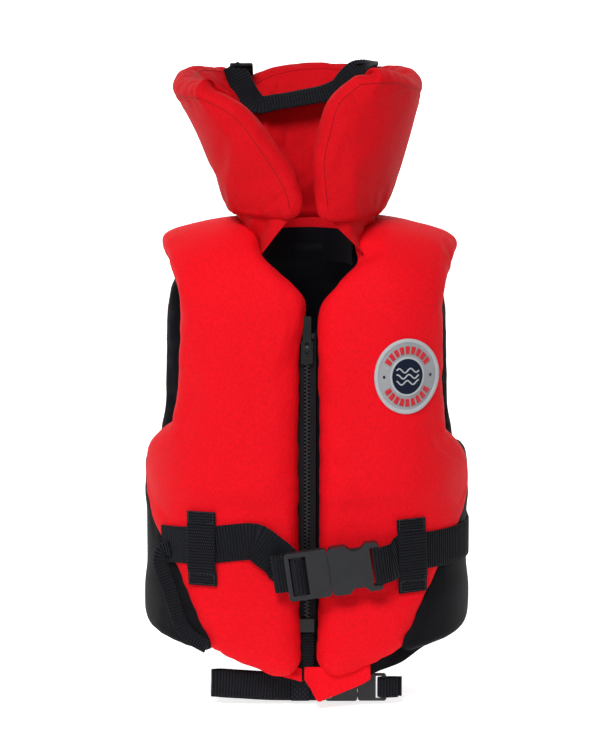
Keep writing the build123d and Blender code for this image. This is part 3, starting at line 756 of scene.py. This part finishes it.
def ribbon(name, path, across, width, thick=WEBBING_THICK, rib=0.0030):
    """Webbing along a path: transverse ribs, flat faces and rounded selvedges."""
    l, p, a = resample(path, RIBBON_STEP, across)
    tangent = unit(np.gradient(p, axis=0))
    a = unit(a - tangent * (a * tangent).sum(1, keepdims=True))
    n = np.cross(tangent, a)
    half, h = width / 2, thick / 2
    section = [(-1, 0)] + [(w, 1) for w in np.linspace(-0.97, 0.97, 9)] + [(1, 0)] + [
        (w, -1) for w in np.linspace(0.97, -0.97, 9)]
    ribs = 1 + RIB_HEIGHT / h * np.sin(2 * pi * l / rib)
    rows = []
    for w, side in section:
        groove = 1 - 0.10 * (abs(w) > 0.9)
        shift = a * (half * w) + n * (h * side * groove * ribs)[:, None]
        rows.append(p + shift)
    verts = np.stack(rows, 1)
    m, k = verts.shape[:2]
    index = np.arange(m * k).reshape(m, k)
    faces = [*grid_faces(np.c_[index, index[:, :1]]).tolist(), index[0, ::-1].tolist(),
             index[-1].tolist()]
    place = np.cumsum([0] + [np.linalg.norm(verts[0, (j + 1) % k] - verts[0, j])
                             for j in range(k)])
    uv = np.stack(np.broadcast_arrays(l[:, None], place), -1)
    uv_index = np.arange(m * (k + 1)).reshape(m, k + 1)
    uvs = np.concatenate([uv.reshape(-1, 2)[grid_faces(uv_index).ravel()], uv[0, k - 1::-1],
                          uv[-1, :k]])
    return link_mesh(name, verts.reshape(-1, 3), faces, uvs, (STRAP,))


def tube(name, points, radius, material, sides=6):
    """Thread of round section through points."""
    p = np.array(points, float)
    tangent = unit(np.gradient(p, axis=0))
    ref = np.where(np.abs(tangent[:, 2:3]) > 0.9, np.array([[1.0, 0, 0]]), np.array([[0, 0, 1.0]]))
    a = unit(np.cross(tangent, ref))
    b = np.cross(tangent, a)
    turn = np.linspace(0, 2 * pi, sides, endpoint=False)
    ring = p[:, None] + radius * (a[:, None] * np.cos(turn)[None, :, None]
                                  + b[:, None] * np.sin(turn)[None, :, None])
    index = np.arange(len(p) * sides).reshape(-1, sides)
    faces = [*grid_faces(np.c_[index, index[:, :1]]).tolist(), index[0, ::-1].tolist(),
             index[-1].tolist()]
    uvs = [(0.0003 * i, 0.0003 * k) for i, f in enumerate(faces) for k in range(len(f))]
    return link_mesh(name, ring.reshape(-1, 3), faces, uvs, (material,))


def join(name, objs):
    """One piece from several meshes."""
    with bpy.context.temp_override(active_object=objs[0], selected_editable_objects=objs):
        bpy.ops.object.join()
    objs[0].name = objs[0].data.name = name
    return objs[0]


STITCH, STITCH_GAP, STITCH_RADIUS = 0.0026, 0.0012, 0.00035


def stitches(points, out):
    """Row of short threads that lie along a path."""
    l, p, n = resample(points, 0.0004, out)
    n = unit(n)
    made = []
    at = 0.0
    dip = np.array([-1.0, 0.3, 0.6, 0.3, -1.0]) * STITCH_RADIUS
    while at + STITCH < l[-1]:
        pick = [np.searchsorted(l, at + STITCH * f) for f in (0, 0.25, 0.5, 0.75, 1)]
        made.append(tube("stitch", p[pick] + n[pick] * dip[:, None], STITCH_RADIUS,
                         THREAD_BLACK, 5))
        at += STITCH + STITCH_GAP
    return made


BUCKLE_TILT = radians(8)
BUCKLE_MOUTH = Vector((0.023, -0.130, 0.117))


def at_buckle(x, y, z=0.0):
    """Row frame point from the buckle's own: x along the belt from the mouth, y out, z up."""
    c, s = cos(BUCKLE_TILT), sin(BUCKLE_TILT)
    return np.array([BUCKLE_MOUTH.x + x * c - z * s, BUCKLE_MOUTH.y + y,
                     BUCKLE_MOUTH.z + x * s + z * c])


BUCKLE_ACROSS = np.array([-sin(BUCKLE_TILT), 0, cos(BUCKLE_TILT)])
UP = np.array([0, 0, 1.0])
OFF = WEBBING_THICK / 2 + 0.0004

# Left belt: sewn round the female bar, then round the side to the back.
s = np.arange(0.096, 0.596, 0.006)
z = smooth([(0.08, 0.1325), (0.14, 0.1335), (0.22, 0.1335), (0.60, BELT_Z)], s)
back_half = 2 * (FLAT + ARC + SIDE)
s_round = np.minimum(s, back_half)
body, _ = around(s_round, z, OFF)
beyond = np.maximum(s - back_half, 0)
body[:, 0] = np.where(s > back_half, -beyond, body[:, 0])
lead = [at_buckle(0.0445, -0.0061), at_buckle(0.0500, -0.0064), at_buckle(0.0545, -0.0050),
        at_buckle(0.0592, -0.0010), at_buckle(0.0640, 0.0040)]
path = np.concatenate([lead, body])
across = np.concatenate([[BUCKLE_ACROSS] * len(lead), [UP] * len(body)])
left_belt = ribbon("left_belt", path, across, WEBBING)
settle(left_belt, "torso", "webbing", "left_belt_webbing")

# Right belt: from its fold at the side, up over a kink and down into the ladder lock.
FOLD_S = float(arc_at(np.array(0.1475)))
s = np.arange(FOLD_S, 0.066, -0.005)
z = smooth([(0.055, 0.1460), (0.075, 0.1440), (0.106, 0.1400), (0.130, 0.1380),
            (FOLD_S + 0.01, 0.1350)], s)
body, _ = around(-s, z, OFF)
kink = [(-0.0560, -0.1205, 0.1455), (-0.0515, -0.1214, 0.1450), (-0.0470, -0.1222, 0.1425),
        (-0.0380, -0.1226, 0.1355), (-0.0270, -0.1226, 0.1265)]
kink_across = [(0.02, 0, 1), (0.18, 0, 1), (0.40, 0, 1), (0.42, 0, 1), (0.20, 0, 1)]
tail_in = [at_buckle(-0.0405, 0.0050), at_buckle(-0.0375, 0.0010), at_buckle(-0.0366, -0.0040),
           at_buckle(-0.0335, -0.0066), at_buckle(-0.0290, -0.0066), at_buckle(-0.0256, -0.0040),
           at_buckle(-0.0250, 0.0015)]
path = np.concatenate([body, kink, tail_in])
across = np.concatenate([[UP] * len(body), kink_across, [BUCKLE_ACROSS] * len(tail_in)])
right_belt = ribbon("right_belt", path, across, WEBBING)
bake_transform(right_belt)
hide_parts("right_belt_webbing")

# The fold at the side, and the strap that runs from it to the hem.
run = [(0.1370, 0.1330), (0.1435, 0.1290), (0.1450, 0.1190), (0.1400, 0.1040), (0.1335, 0.0880),
       (0.1290, 0.0720), (0.1245, 0.0570), (0.1150, 0.0450), (0.1000, 0.0360)]
run_s = -arc_at(np.array([r[0] for r in run]))
body, way = around(run_s, np.array([r[1] for r in run]), OFF + 0.0026, 2)
tilt = np.linspace(0.0, 1.0, len(run))[:, None]
slope = unit(np.gradient(body, axis=0))
flat_across = unit(np.cross(way, slope))
across = unit(flat_across * (1 - 0.50 * np.sin(pi * tilt)) - way * (0.70 * np.sin(pi * tilt)))
body = body + way * (0.0030 * np.sin(pi * tilt))
side_strap = ribbon("side_strap", body, across, 0.0145)
settle(side_strap, "torso", "webbing", "belt_side_strap")

# Folded tail of the right belt, beside the ladder lock.
TAIL_RISE = 0.0045
tail_path = [at_buckle(x, y, TAIL_RISE) for x, y in (
    (-0.030, 0.0075), (-0.042, 0.0070), (-0.0520, 0.0048), (-0.0562, 0.0018), (-0.0562, -0.0010),
    (-0.0525, -0.0030), (-0.0470, -0.0032), (-0.0430, -0.0026))]
tail = ribbon("belt_tail_fold", tail_path, [BUCKLE_ACROSS] * len(tail_path), WEBBING)
settle(tail, "buckle_male", "webbing", "belt_tail")


def belt_loop(name, node, x, z_mid, lean, back=False):
    """Webbing loop, box-stitched to the cover above and below the belt."""
    half, sewn = 0.038, 0.013
    rows = [(-half, 0), (-half + sewn * 0.6, 0), (-half + sewn, 0.0003), (-half + sewn + 0.005, 0.0024),
            (-0.012, 0.0031), (0.0, 0.0033), (0.012, 0.0031), (half - sewn - 0.005, 0.0024),
            (half - sewn, 0.0003), (half - sewn * 0.6, 0), (half, 0)]
    s0 = float(arc_at(np.array(abs(x)))) * (1 if x > 0 else -1)
    if back:
        s0 = (back_half - abs(x)) * (1 if x > 0 else -1)
    z = np.array([z_mid + r[0] for r in rows])
    s = np.array([s0 + r[0] * lean for r in rows])
    body, way = around(s, z, OFF + 0.0002, 1)
    body = body + way * np.array([r[1] for r in rows])[:, None]
    side = unit(np.cross(way, UP))
    loop = ribbon(name, body, side, 0.032, 0.0017, rib=0.0021)
    threads = []
    for low, high in ((0, 2), (8, 10)):
        a, b = body[low], body[high]
        n, w = way[low], side[low] * 0.0135
        lift = n * 0.0013
        corners = [a - w + (b - a) * 0.12, a + w + (b - a) * 0.12, b + w - (b - a) * 0.05,
                   b - w - (b - a) * 0.05, a - w + (b - a) * 0.12]
        for start, end in zip(corners[:-1], corners[1:]):
            line = [start + lift + (end - start) * f for f in np.linspace(0, 1, 6)]
            threads += stitches(line, [n] * 6)
    loop = join(name, [loop, *threads])
    settle(loop, "torso", "webbing", node)


belt_loop("left_front_loop", "left_belt_loop", 0.106, BELT_Z + 0.001, -0.03)
belt_loop("right_front_loop", "right_belt_loop", -0.106, BELT_Z + 0.008, -0.02)
belt_loop("left_back_loop", "left_belt_loop_back", 0.078, BELT_Z, 0.0, True)
belt_loop("right_back_loop", "right_belt_loop_back", -0.078, BELT_Z, 0.0, True)


# ---- patch ----
PATCH_X, PATCH_Z, PATCH_HALF_W, PATCH_HALF_H = 0.1000, 0.3135, 0.0330, 0.0380
patch_tree = tree_of(front_pads[1])


def patch_point(r, angle):
    """On the left cover at r (0 to 1) and an angle from the patch's middle."""
    x = PATCH_X + PATCH_HALF_W * r * cos(angle)
    z = PATCH_Z + PATCH_HALF_H * r * sin(angle)
    hit, normal, *_ = patch_tree.ray_cast(Vector((x, -0.30, z)), Vector((0, 1, 0)))
    if hit is None:
        hit, normal, *_ = patch_tree.find_nearest(Vector((x, -0.10, z)))
    return hit, normal


PATCH_NORMAL = patch_point(0, 0)[1]


def patch_disc(name, r_low, r_high, lift, thick, material, rings=10, sectors=144, crown=0.0,
               braid=0.0):
    """Ring or disc of sewn cloth on the cover, with a crown and a braid's turns if it has them."""
    verts = []
    for layer, sink in ((0, 0.0), (1, thick)):
        for i in range(rings + 1):
            f = i / rings
            r = r_low + (r_high - r_low) * f
            for j in range(sectors):
                a = 2 * pi * j / sectors
                hit, _ = patch_point(max(r, 1e-4), a)
                up = lift + crown * sin(pi * f) ** 0.7 if layer == 0 else lift - sink
                if layer == 0 and braid:
                    up += braid * sin(pi * f) * sin(a * 48 + f * 5)
                verts.append(hit + PATCH_NORMAL * up)
    index = np.arange(2 * (rings + 1) * sectors).reshape(2, rings + 1, sectors)
    round_ = np.concatenate([index, index[..., :1]], -1)
    faces = np.concatenate([
        grid_faces(round_[0], flip=True), grid_faces(round_[1], flip=True)[:, ::-1],
        band(index[1, 0], index[0, 0]), band(index[1, -1], index[0, -1])[:, ::-1]]).tolist()
    uvs = [(verts[v].x, verts[v].z) for f in faces for v in f]
    return link_mesh(name, verts, faces, uvs, (material,))


base = patch_disc("patch_twill_disc", 0.0, 0.97, 0.0011, 0.0014, GREY_TWILL)
border = patch_disc("patch_braid", 0.885, 1.0, 0.0012, 0.0014, THREAD_PALE, 8, 288, 0.0011, 0.0002)
centre = patch_disc("patch_navy_disc", 0.0, 0.50, 0.0016, 0.0010, NAVY_TWILL)
centre_rim = patch_disc("patch_navy_rim", 0.47, 0.53, 0.0017, 0.0010, THREAD_PALE, 4, 144, 0.0003)


def patch_bar(r_low, r_high, middle, half, lift, material, steps=6):
    """Embroidered bar on the patch, half its angle to each side of the middle."""
    verts = []
    for layer in (0.0, -0.0008):
        for i in range(steps + 1):
            for j in range(steps + 1):
                r = r_low + (r_high - r_low) * i / steps
                a = middle - half + ((middle + half) - (middle - half)) * j / steps
                crown = 0.0005 * sin(pi * i / steps) * sin(pi * j / steps) if layer == 0 else 0
                verts.append(patch_point(r, a)[0] + PATCH_NORMAL * (lift + layer + crown))
    index = np.arange((steps + 1) ** 2).reshape(steps + 1, -1)
    top, rim = grid_faces(index, flip=True), rim_of(index)
    faces = np.concatenate([np.stack([top, top[:, ::-1] + index.size], 1).reshape(-1, 4),
                            band(rim + index.size, rim)]).tolist()
    uvs = [(verts[v].x, verts[v].z) for f in faces for v in f]
    return link_mesh("bar", verts, faces, uvs, (material,))


bars = []
for middle in (pi / 2, -pi / 2):
    for k in range(-4, 5):
        bars.append(patch_bar(0.60, 0.80, middle + k * 0.245, 0.085, 0.0018, THREAD_RED))
for a in (0, pi):
    bars.append(patch_bar(0.685, 0.745, a, 0.045, 0.0018, NAVY_TWILL, 4))
motif = join("patch_motif", bars)
waves = []
for k in range(3):
    height = 0.16 - 0.16 * k
    line = []
    for x in np.linspace(-0.34, 0.34, 40):
        zz = height + 0.055 * sin(x * 18 + k * 0.9)
        r, a = np.hypot(x, zz), atan2(zz, x)
        line.append(np.array(patch_point(r, a)[0] + PATCH_NORMAL * 0.0020))
    waves.append(tube("wave", line, 0.00075, THREAD_PALE, 8))
waves = join("patch_waves", waves)
settle(base, "torso", "patch_twill", "patch_base")
settle(border, "torso", "patch_twill", "patch_border")
settle(centre, "torso", "patch_navy", "patch_centre")
settle(centre_rim, "torso", "patch_twill")
settle(motif, "torso", "red_nylon")
settle(waves, "torso", "patch_twill")


# ---- seam lines (dark tubes that paint the seam shadow) and zip facings ----
SEAM_RADIUS = 0.00042


def seam_shadow_line(name, obj, ring, first, last, body):
    """Piped seam along part of one of a pad's seam loops, coloured dark red to paint the shadow of the
    seam's groove.
    """
    co, n = coords(obj), normals(obj)
    loop = seam_loops[obj.name][ring][first:last]
    points = co[loop] + n[loop] * 0.0001
    keep = np.r_[True, np.linalg.norm(np.diff(points, axis=0), axis=1) > 0.0006]
    settle(tube(name, points[keep], SEAM_RADIUS, SEAM_SHADOW_RED), body, "red_nylon")


FACING_LOW, FACING_HIGH, FACING_INNER = 0.004, 0.356, 0.0075
for side, word in WORD.items():
    wing_row, wing_col = WING_ROWS - 1, WING_COLS - 1
    first = wing_col + (wing_row if side > 0 else 0)
    for ring, part in ((0, "outer"), (1, "inner")):
        seam_shadow_line(f"{word}_wing_{part}_seam", wings[side], ring, first,
                  first + wing_row + wing_col, f"collar_{word}_wing")
    z = np.linspace(FACING_LOW, FACING_HIGH, 60)[:, None]
    edge = smooth([(0.0, 0.0195), (0.345, 0.0195), (0.362, 0.019)], z)
    u = np.linspace(0, 1, 8)[None, :]
    x = FACING_INNER + (edge - FACING_INNER) * u
    facing = np.stack([x, -0.0885 + 0.004 * u**2 + 0 * z, z + 0 * u], -1)
    if side < 0:
        facing = facing[:, ::-1] * (-1, 1, 1)
    uv = np.stack([x, z + 0 * u], -1)
    obj = pad_mesh(f"{word}_zip_facing", facing, uv, 0.0009, 0.0005,
                   EDGE_PROFILE, [1], 9, LINING, LINING)
    settle(obj, "torso", "lining")
for ring, part in ((0, "outer"), (1, "inner")):
    first = PILLOW_ROWS + PILLOW_COLS - 2
    seam_shadow_line(f"pillow_{part}_seam", pillow_pad, ring, first, first + PILLOW_COLS - 1,
              "collar_pillow")


# ---- neck gussets ----
def thin_sheet(name, grid, material, thick=0.0009):
    """Thin closed cloth from a grid of points."""
    rows, cols, _ = grid.shape
    du = np.linalg.norm(np.diff(grid, axis=1), axis=2).mean(0)
    dv = np.linalg.norm(np.diff(grid, axis=0), axis=2).mean(1)
    uv = np.stack(np.meshgrid(np.r_[0, np.cumsum(du)], np.r_[0, np.cumsum(dv)]), -1)
    obj = pad_mesh(name, grid, uv, thick, thick * 0.5, EDGE_PROFILE,
                   [1], 9, material, material)
    size = (float(du.sum()), float(dv.sum()))
    a = grid[1:, 1:] - grid[:-1, :-1]
    b = grid[1:, :-1] - grid[:-1, 1:]
    area = float(np.linalg.norm(np.cross(a, b), axis=2).sum() / 2)
    return obj, size, area


def neck_point(turn, z, inset):
    """Neck opening seen from above: turn is 0 at the front and pi at the back."""
    return np.stack([(0.056 - inset) * np.sin(turn), -0.012 - (0.088 - inset) * np.cos(turn),
                     z + 0 * turn], -1)


GUSSET_BACK = radians(158)
GUSSET_FRONT = {-1: radians(64), 1: radians(72)}
GUSSET_CORNER = {-1: (-0.0455, -0.0890, 0.4350), 1: (-0.0570, -0.0870, 0.4350)}


def unit_grid(rows, cols):
    """Shares from 0 to 1 up and across a grid."""
    return np.linspace(0, 1, rows)[:, None], np.linspace(0, 1, cols)[None, :]


def wing_gusset(side):
    """Gathered cloth from the neck opening up to a wing, in two strips that meet half way."""
    shape, word = WING_SHAPES[side], WORD[side]
    rows = 26
    v, u = unit_grid(rows, 90)
    turn = GUSSET_BACK + (GUSSET_FRONT[side] - GUSSET_BACK) * u
    low = neck_point(turn, 0.434 + 0.004 * np.sin(pi * u), 0.006) * (-1, 1, 1)
    toward = smooth([(0.0, 0.0), (0.50, 0.0), (0.80, 0.55), (1.0, 1.0)], u)[..., None]
    low = low * (1 - toward) + np.array(GUSSET_CORNER[side]) * toward
    angle = WING_BACK - 8 + (shape["front"][0][2] + 4.5 - WING_BACK + 8) * u
    top_z = 0.480 + (shape["front"][0][1] + 0.002 - 0.480) * u**3
    high = funnel(angle, top_z, shape["ridge"], shape["flare"])
    high[..., :2] *= 0.90
    fold = (np.array([[noise.noise(Vector((a * 9, b * 2.2, side * 4.0))) for a in u[0]]
                      for b in v[:, 0]]))
    bulge = np.sin(pi * v) * (0.005 + 0.008 * fold + 0.0012 * np.sin(u * 46 + v * 5))
    bulge = bulge * (1 - 0.9 * u**6)
    grid = low * (1 - v[..., None]) + high * v[..., None]
    out = unit(grid * (1, 1, 0))
    grid = grid + out * bulge[..., None]
    if side > 0:
        grid = (grid * (-1, 1, 1))[:, ::-1]
    middle = rows // 2
    for part, strip, a, b, start, end in (
            ("lower", grid[:middle + 2], "torso", "collar_pillow", 0.438, 0.455),
            ("upper", grid[middle:], "collar_pillow", f"collar_{word}_wing", 0.461, 0.476)):
        # The gusset strips take the darker collar red, painted shade.
        obj, size, area = thin_sheet(f"{word}_{part}_neck_gusset", strip, COLLAR_SHADED_RED)
        subdivide(obj)
        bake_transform(obj)


def back_gusset():
    v, u = unit_grid(16, 60)
    turn = radians(132) + radians(96) * u
    low = neck_point(turn, 0.432, 0.004)
    high = funnel(42 + 96 * u, 0.474 + 0 * v[:1] * u)
    high[..., :2] *= 0.92
    grid = low * (1 - v[..., None]) + high * v[..., None]
    bulge = 0.0015 * np.sin(pi * v) * (1 + 0.4 * np.sin(u * 24))
    grid = grid + unit(grid * (1, 1, 0)) * bulge[..., None]
    # The back gusset takes the darker collar red, painted shade.
    obj, size, area = thin_sheet("back_neck_gusset", grid, COLLAR_SHADED_RED)
    subdivide(obj)
    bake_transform(obj)
    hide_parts("neck_gusset")


def neck_facing():
    """Lining behind the neck, inside the foot of the back gusset."""
    v, u = unit_grid(10, 60)
    turn = radians(100) + radians(160) * u
    z = 0.414 + 0.034 * v
    grid = neck_point(turn + 0 * v, z + 0 * u, 0.0075)
    obj, size, area = thin_sheet("back_neck_facing", grid, LINING)
    settle(obj, "torso", "lining")


wing_gusset(-1)
wing_gusset(1)
back_gusset()
neck_facing()


# ---- hem ----
HEM_THICK = 0.0011


def hem_sheet(name, node, top, drop, y, material, slot, seed):
    """Strip of cloth hanging under a pad: top is (x, z) keys, drop how far it hangs at each."""
    v, u = unit_grid(12, 60)
    x = top[0][0] + (top[-1][0] - top[0][0]) * u + 0 * v
    keys = sorted((k[0], k[1]) for k in top)
    falls = sorted((k[0], d) for k, d in zip(top, drop))
    high = smooth(keys, x[0])
    fall = smooth(falls, x[0])
    z = high - (1 - v) * fall
    arc = arc_at(np.abs(x)) * np.sign(x)
    px, py = outline(arc)
    ripple = np.array([[noise.noise(Vector((a * 45, b * 1.5, seed))) for a in x[0]] for b in v[:, 0]])
    depth = y + 0.004 * ripple * (1 - v) - 0.003 * (1 - v)
    way = unit(np.stack([px * 0.35, py], -1))
    grid = np.stack([px - way[..., 0] * depth, py - way[..., 1] * depth, z], -1)
    obj, size, area = thin_sheet(name, grid, material, HEM_THICK)
    subdivide(obj)
    settle(obj, "torso", slot, node)


hem_sheet("left_hem_flap", "left_hem_band",
          [(-0.002, 0.012), (0.005, 0.012), (0.011, 0.012), (0.020, 0.012), (0.035, 0.013),
           (0.050, 0.016), (0.066, 0.020)],
          [0.012, 0.022, 0.0335, 0.0315, 0.0265, 0.0235, 0.0190], 0.010, RED, "red_nylon", 1.0)
hem_sheet("right_hem_flap", "right_hem_band",
          [(-0.070, 0.030), (-0.035, 0.016), (-0.006, 0.008)],
          [0.012, 0.012, 0.013], 0.020, RED, "red_nylon", 2.0)
hem_sheet("left_hem_layer", "left_hem_liner",
          [(0.064, 0.026), (0.105, 0.042), (0.144, 0.058)],
          [0.024, 0.024, 0.021], 0.018, BLACK, "black_nylon", 3.0)
hem_sheet("right_hem_layer", "right_hem_liner",
          [(-0.158, 0.074), (-0.130, 0.058), (-0.100, 0.044)],
          [0.022, 0.018, 0.008], 0.008, BLACK, "black_nylon", 4.0)


def back_hem():
    v, u = unit_grid(10, 110)
    s = 0.150 - 0.300 * u + 0 * v
    ripple = np.array([[noise.noise(Vector((a * 30, b * 1.2, 9.0))) for a in s[0]] for b in v[:, 0]])
    x, y = outline(s)
    grid = np.stack([x * (1 - 0.015 / 0.168), -y * (1 - 0.013 / 0.118) + 0.002 * ripple * (1 - v),
                     0.036 - 0.019 * (1 - v) + 0 * s], -1)
    obj, size, area = thin_sheet("back_hem_band", grid, RED, HEM_THICK)
    subdivide(obj)
    settle(obj, "torso", "red_nylon", "hem_band_back")


back_hem()

# ---- grab handle ----
HANDLE_WIDTH = 0.025
handle_path = [(-0.0800, 0.0530, 0.6190), (-0.0745, 0.0520, 0.6120), (-0.0670, 0.0500, 0.5975),
               (-0.0590, 0.0490, 0.5850), (-0.0510, 0.0485, 0.5795), (-0.0320, 0.0485, 0.5815),
               (-0.0050, 0.0490, 0.5860), (0.0200, 0.0495, 0.5910), (0.0350, 0.0500, 0.5965),
               (0.0440, 0.0510, 0.6060), (0.0530, 0.0520, 0.6150), (0.0620, 0.0528, 0.6200),
               (0.0740, 0.0530, 0.6215)]
handle_across = [(0.55, 0.75, 0.30), (0.80, 0.40, 0.45), (0.85, 0.15, 0.50), (0.70, 0.25, 0.60),
                 (0.30, 0.60, 0.70), (0.02, 0.76, 0.62), (-0.10, 0.76, 0.62), (-0.15, 0.70, 0.66),
                 (-0.35, 0.50, 0.76), (-0.70, 0.30, 0.65), (-0.70, 0.50, 0.50), (-0.40, 0.80, 0.30),
                 (-0.10, 0.95, 0.10)]
handle = ribbon("handle_webbing", handle_path, handle_across, HANDLE_WIDTH, 0.0019, rib=0.0021)
settle(handle, "grab_handle", "webbing", "grab_handle")
tabs = []
for side in (-1, 1):
    x = -0.0690 if side < 0 else 0.0635
    fall = 0.0020 if side < 0 else 0.0
    path = [(x, 0.0530, 0.6205 - fall), (x, 0.066, 0.6225 - fall), (x, 0.080, 0.6215 - fall),
            (x, 0.094, 0.6175 - fall), (x, 0.108, 0.6085 - fall)]
    tabs.append(ribbon("tab", path, [(1.0, 0, 0)] * 5, 0.024, 0.0019, rib=0.0021))
tabs = join("handle_tabs", tabs)
settle(tabs, "collar_pillow", "webbing", "grab_handle_tabs")

# ---- crotch strap ----
STRAP_Y = -0.0872
crotch_path = [(0.0190, STRAP_Y - 0.0008, -0.0135), (-0.010, STRAP_Y - 0.0009, -0.0135),
               (-0.040, STRAP_Y - 0.0030, -0.0125), (-0.070, STRAP_Y - 0.0040, -0.0105),
               (-0.090, STRAP_Y - 0.0030, -0.0095), (-0.0975, STRAP_Y, -0.0095),
               (-0.093, STRAP_Y + 0.0040, -0.0100), (-0.070, STRAP_Y + 0.0060, -0.0115),
               (-0.040, STRAP_Y + 0.0045, -0.0130), (-0.010, STRAP_Y + 0.0014, -0.0135)]
crotch = ribbon("crotch_loop", crotch_path, [UP] * len(crotch_path), 0.0290, 0.0016)
settle(crotch, "crotch_strap", "webbing", "crotch_webbing")
anchor_low, anchor_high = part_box("crotch_anchor")
bar_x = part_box("crotch_buckle_male")[1].x
anchor_z = (anchor_low.z + anchor_high.z) / 2
anchor_path = [(anchor_high.x - 0.002, STRAP_Y + 0.0018, anchor_z),
               (bar_x + 0.002, STRAP_Y + 0.0022, anchor_z),
               (bar_x - 0.0050, STRAP_Y + 0.0010, anchor_z),
               (bar_x - 0.0085, STRAP_Y - 0.0006, anchor_z),
               (bar_x - 0.0080, STRAP_Y - 0.0026, anchor_z),
               (bar_x - 0.0030, STRAP_Y - 0.0052, anchor_z),
               (bar_x + 0.0050, STRAP_Y - 0.0044, anchor_z),
               (anchor_high.x - 0.006, STRAP_Y - 0.0030, anchor_z)]
anchor = ribbon("crotch_anchor_loop", anchor_path, [UP] * len(anchor_path), 0.0210, 0.0014)
settle(anchor, "crotch_buckle", "webbing", "crotch_anchor")
tab_path = [(0.0, -0.0915, 0.047), (0.0005, -0.0925, 0.030), (0.0, -0.0930, 0.012),
            (-0.0005, -0.0920, -0.006)]
hem_tab = ribbon("zip_foot_tab", tab_path, [(1.0, 0, 0)] * 4, 0.0145, 0.0015)
settle(hem_tab, "torso", "webbing", "hem_tab")

# ---- CAD nodes that stay ----
slot_of = {part["node"]: part["material_slot"] for part in frame["record"]["subparts"]}
for name, obj in frame["nodes"].items():
    obj.data.materials.clear()
    obj.data.materials.append(SLOT_MATERIALS[slot_of[name]])

# ---- stage, light and camera ----
FLOOR_Z = cad_box[0].z - 0.004
WALL_Y, WALL_HALF, WALL_LOW, WALL_HIGH = 14.0, 16.0, -9.0, 12.0
floor_material, nodes, links, shader = principled("floor_pale", (0.9, 0.9, 0.9), 0.9,
                                                  Emission_Color=(1.0, 1.0, 1.0))
split = nodes.new("ShaderNodeSeparateXYZ")
links.new(nodes.new("ShaderNodeTexCoord").outputs["Object"], split.inputs[0])
for key, low, high in (("Emission Strength", 0.15, 0.90), ("Base Color", 0.62, 0.92)):
    sweep = add_node(nodes, "ShaderNodeMapRange")
    for socket, value in (("From Min", -0.55), ("From Max", 0.05), ("To Min", low),
                          ("To Max", high)):
        sweep.inputs[socket].default_value = value
    links.new(split.outputs["Y"], sweep.inputs["Value"])
    links.new(sweep.outputs[0], shader.inputs[key])
backdrop_material, *_ = principled("backdrop_white", (0.9, 0.9, 0.9), 0.9,
                                   Emission_Color=(1.0, 1.0, 1.0), Emission_Strength=1.0)
for name, material, corners in (
        ("floor", floor_material, [
            (-WALL_HALF, -WALL_HALF, FLOOR_Z), (WALL_HALF, -WALL_HALF, FLOOR_Z),
            (WALL_HALF, WALL_Y, FLOOR_Z), (-WALL_HALF, WALL_Y, FLOOR_Z)]),
        ("backdrop", backdrop_material, [
            (-WALL_HALF, WALL_Y, WALL_LOW), (-WALL_HALF, WALL_Y, WALL_HIGH),
            (WALL_HALF, WALL_Y, WALL_HIGH), (WALL_HALF, WALL_Y, WALL_LOW)])):
    link_mesh(name, corners, [(0, 1, 2, 3)], materials=(material,))

world = bpy.data.worlds.new("studio")
bpy.context.scene.world = world
world.use_nodes = True
world.node_tree.nodes["Background"].inputs["Color"].default_value = (1, 1, 1, 1)
world.node_tree.nodes["Background"].inputs["Strength"].default_value = 0.20


def area_light(name, place, target, size, power):
    data = bpy.data.lights.new(name, "AREA")
    data.shape, data.size, data.energy = "SQUARE", size, power
    light = bpy.data.objects.new(name, data)
    bpy.context.scene.collection.objects.link(light)
    light.location = place
    light.rotation_euler = (Vector(target) - Vector(place)).to_track_quat("-Z", "Y").to_euler()


area_light("key", (-0.42, -1.60, 1.85), (0, 0, 0.24), 0.8, 42)
area_light("fill", (-0.5, -2.5, 0.6), (0, 0, 0.25), 1.0, 6)
area_light("back_left", (-1.5, 1.4, 1.5), (0, 0, 0.30), 1.2, 4)
area_light("back_right", (1.5, 1.4, 1.5), (0, 0, 0.30), 1.2, 4)

CAMERA_AIM = Vector((-0.007, -HALF_DEPTH, 0.315))
CAMERA_DISTANCE, CAMERA_ELEVATION = 2.5, radians(8)
camera_data = bpy.data.cameras.new("camera")
camera_data.sensor_fit, camera_data.sensor_width = "HORIZONTAL", 36
camera_data.lens = 36 * CAMERA_DISTANCE / 0.600
camera = bpy.data.objects.new("camera", camera_data)
bpy.context.scene.collection.objects.link(camera)
camera.location = CAMERA_AIM + CAMERA_DISTANCE * Vector(
    (0, -cos(CAMERA_ELEVATION), sin(CAMERA_ELEVATION)))
camera.rotation_euler = (CAMERA_AIM - camera.location).to_track_quat("-Z", "Y").to_euler()
bpy.context.scene.camera = camera
bpy.context.scene.view_settings.view_transform = "Standard"

bpy.context.view_layer.update()
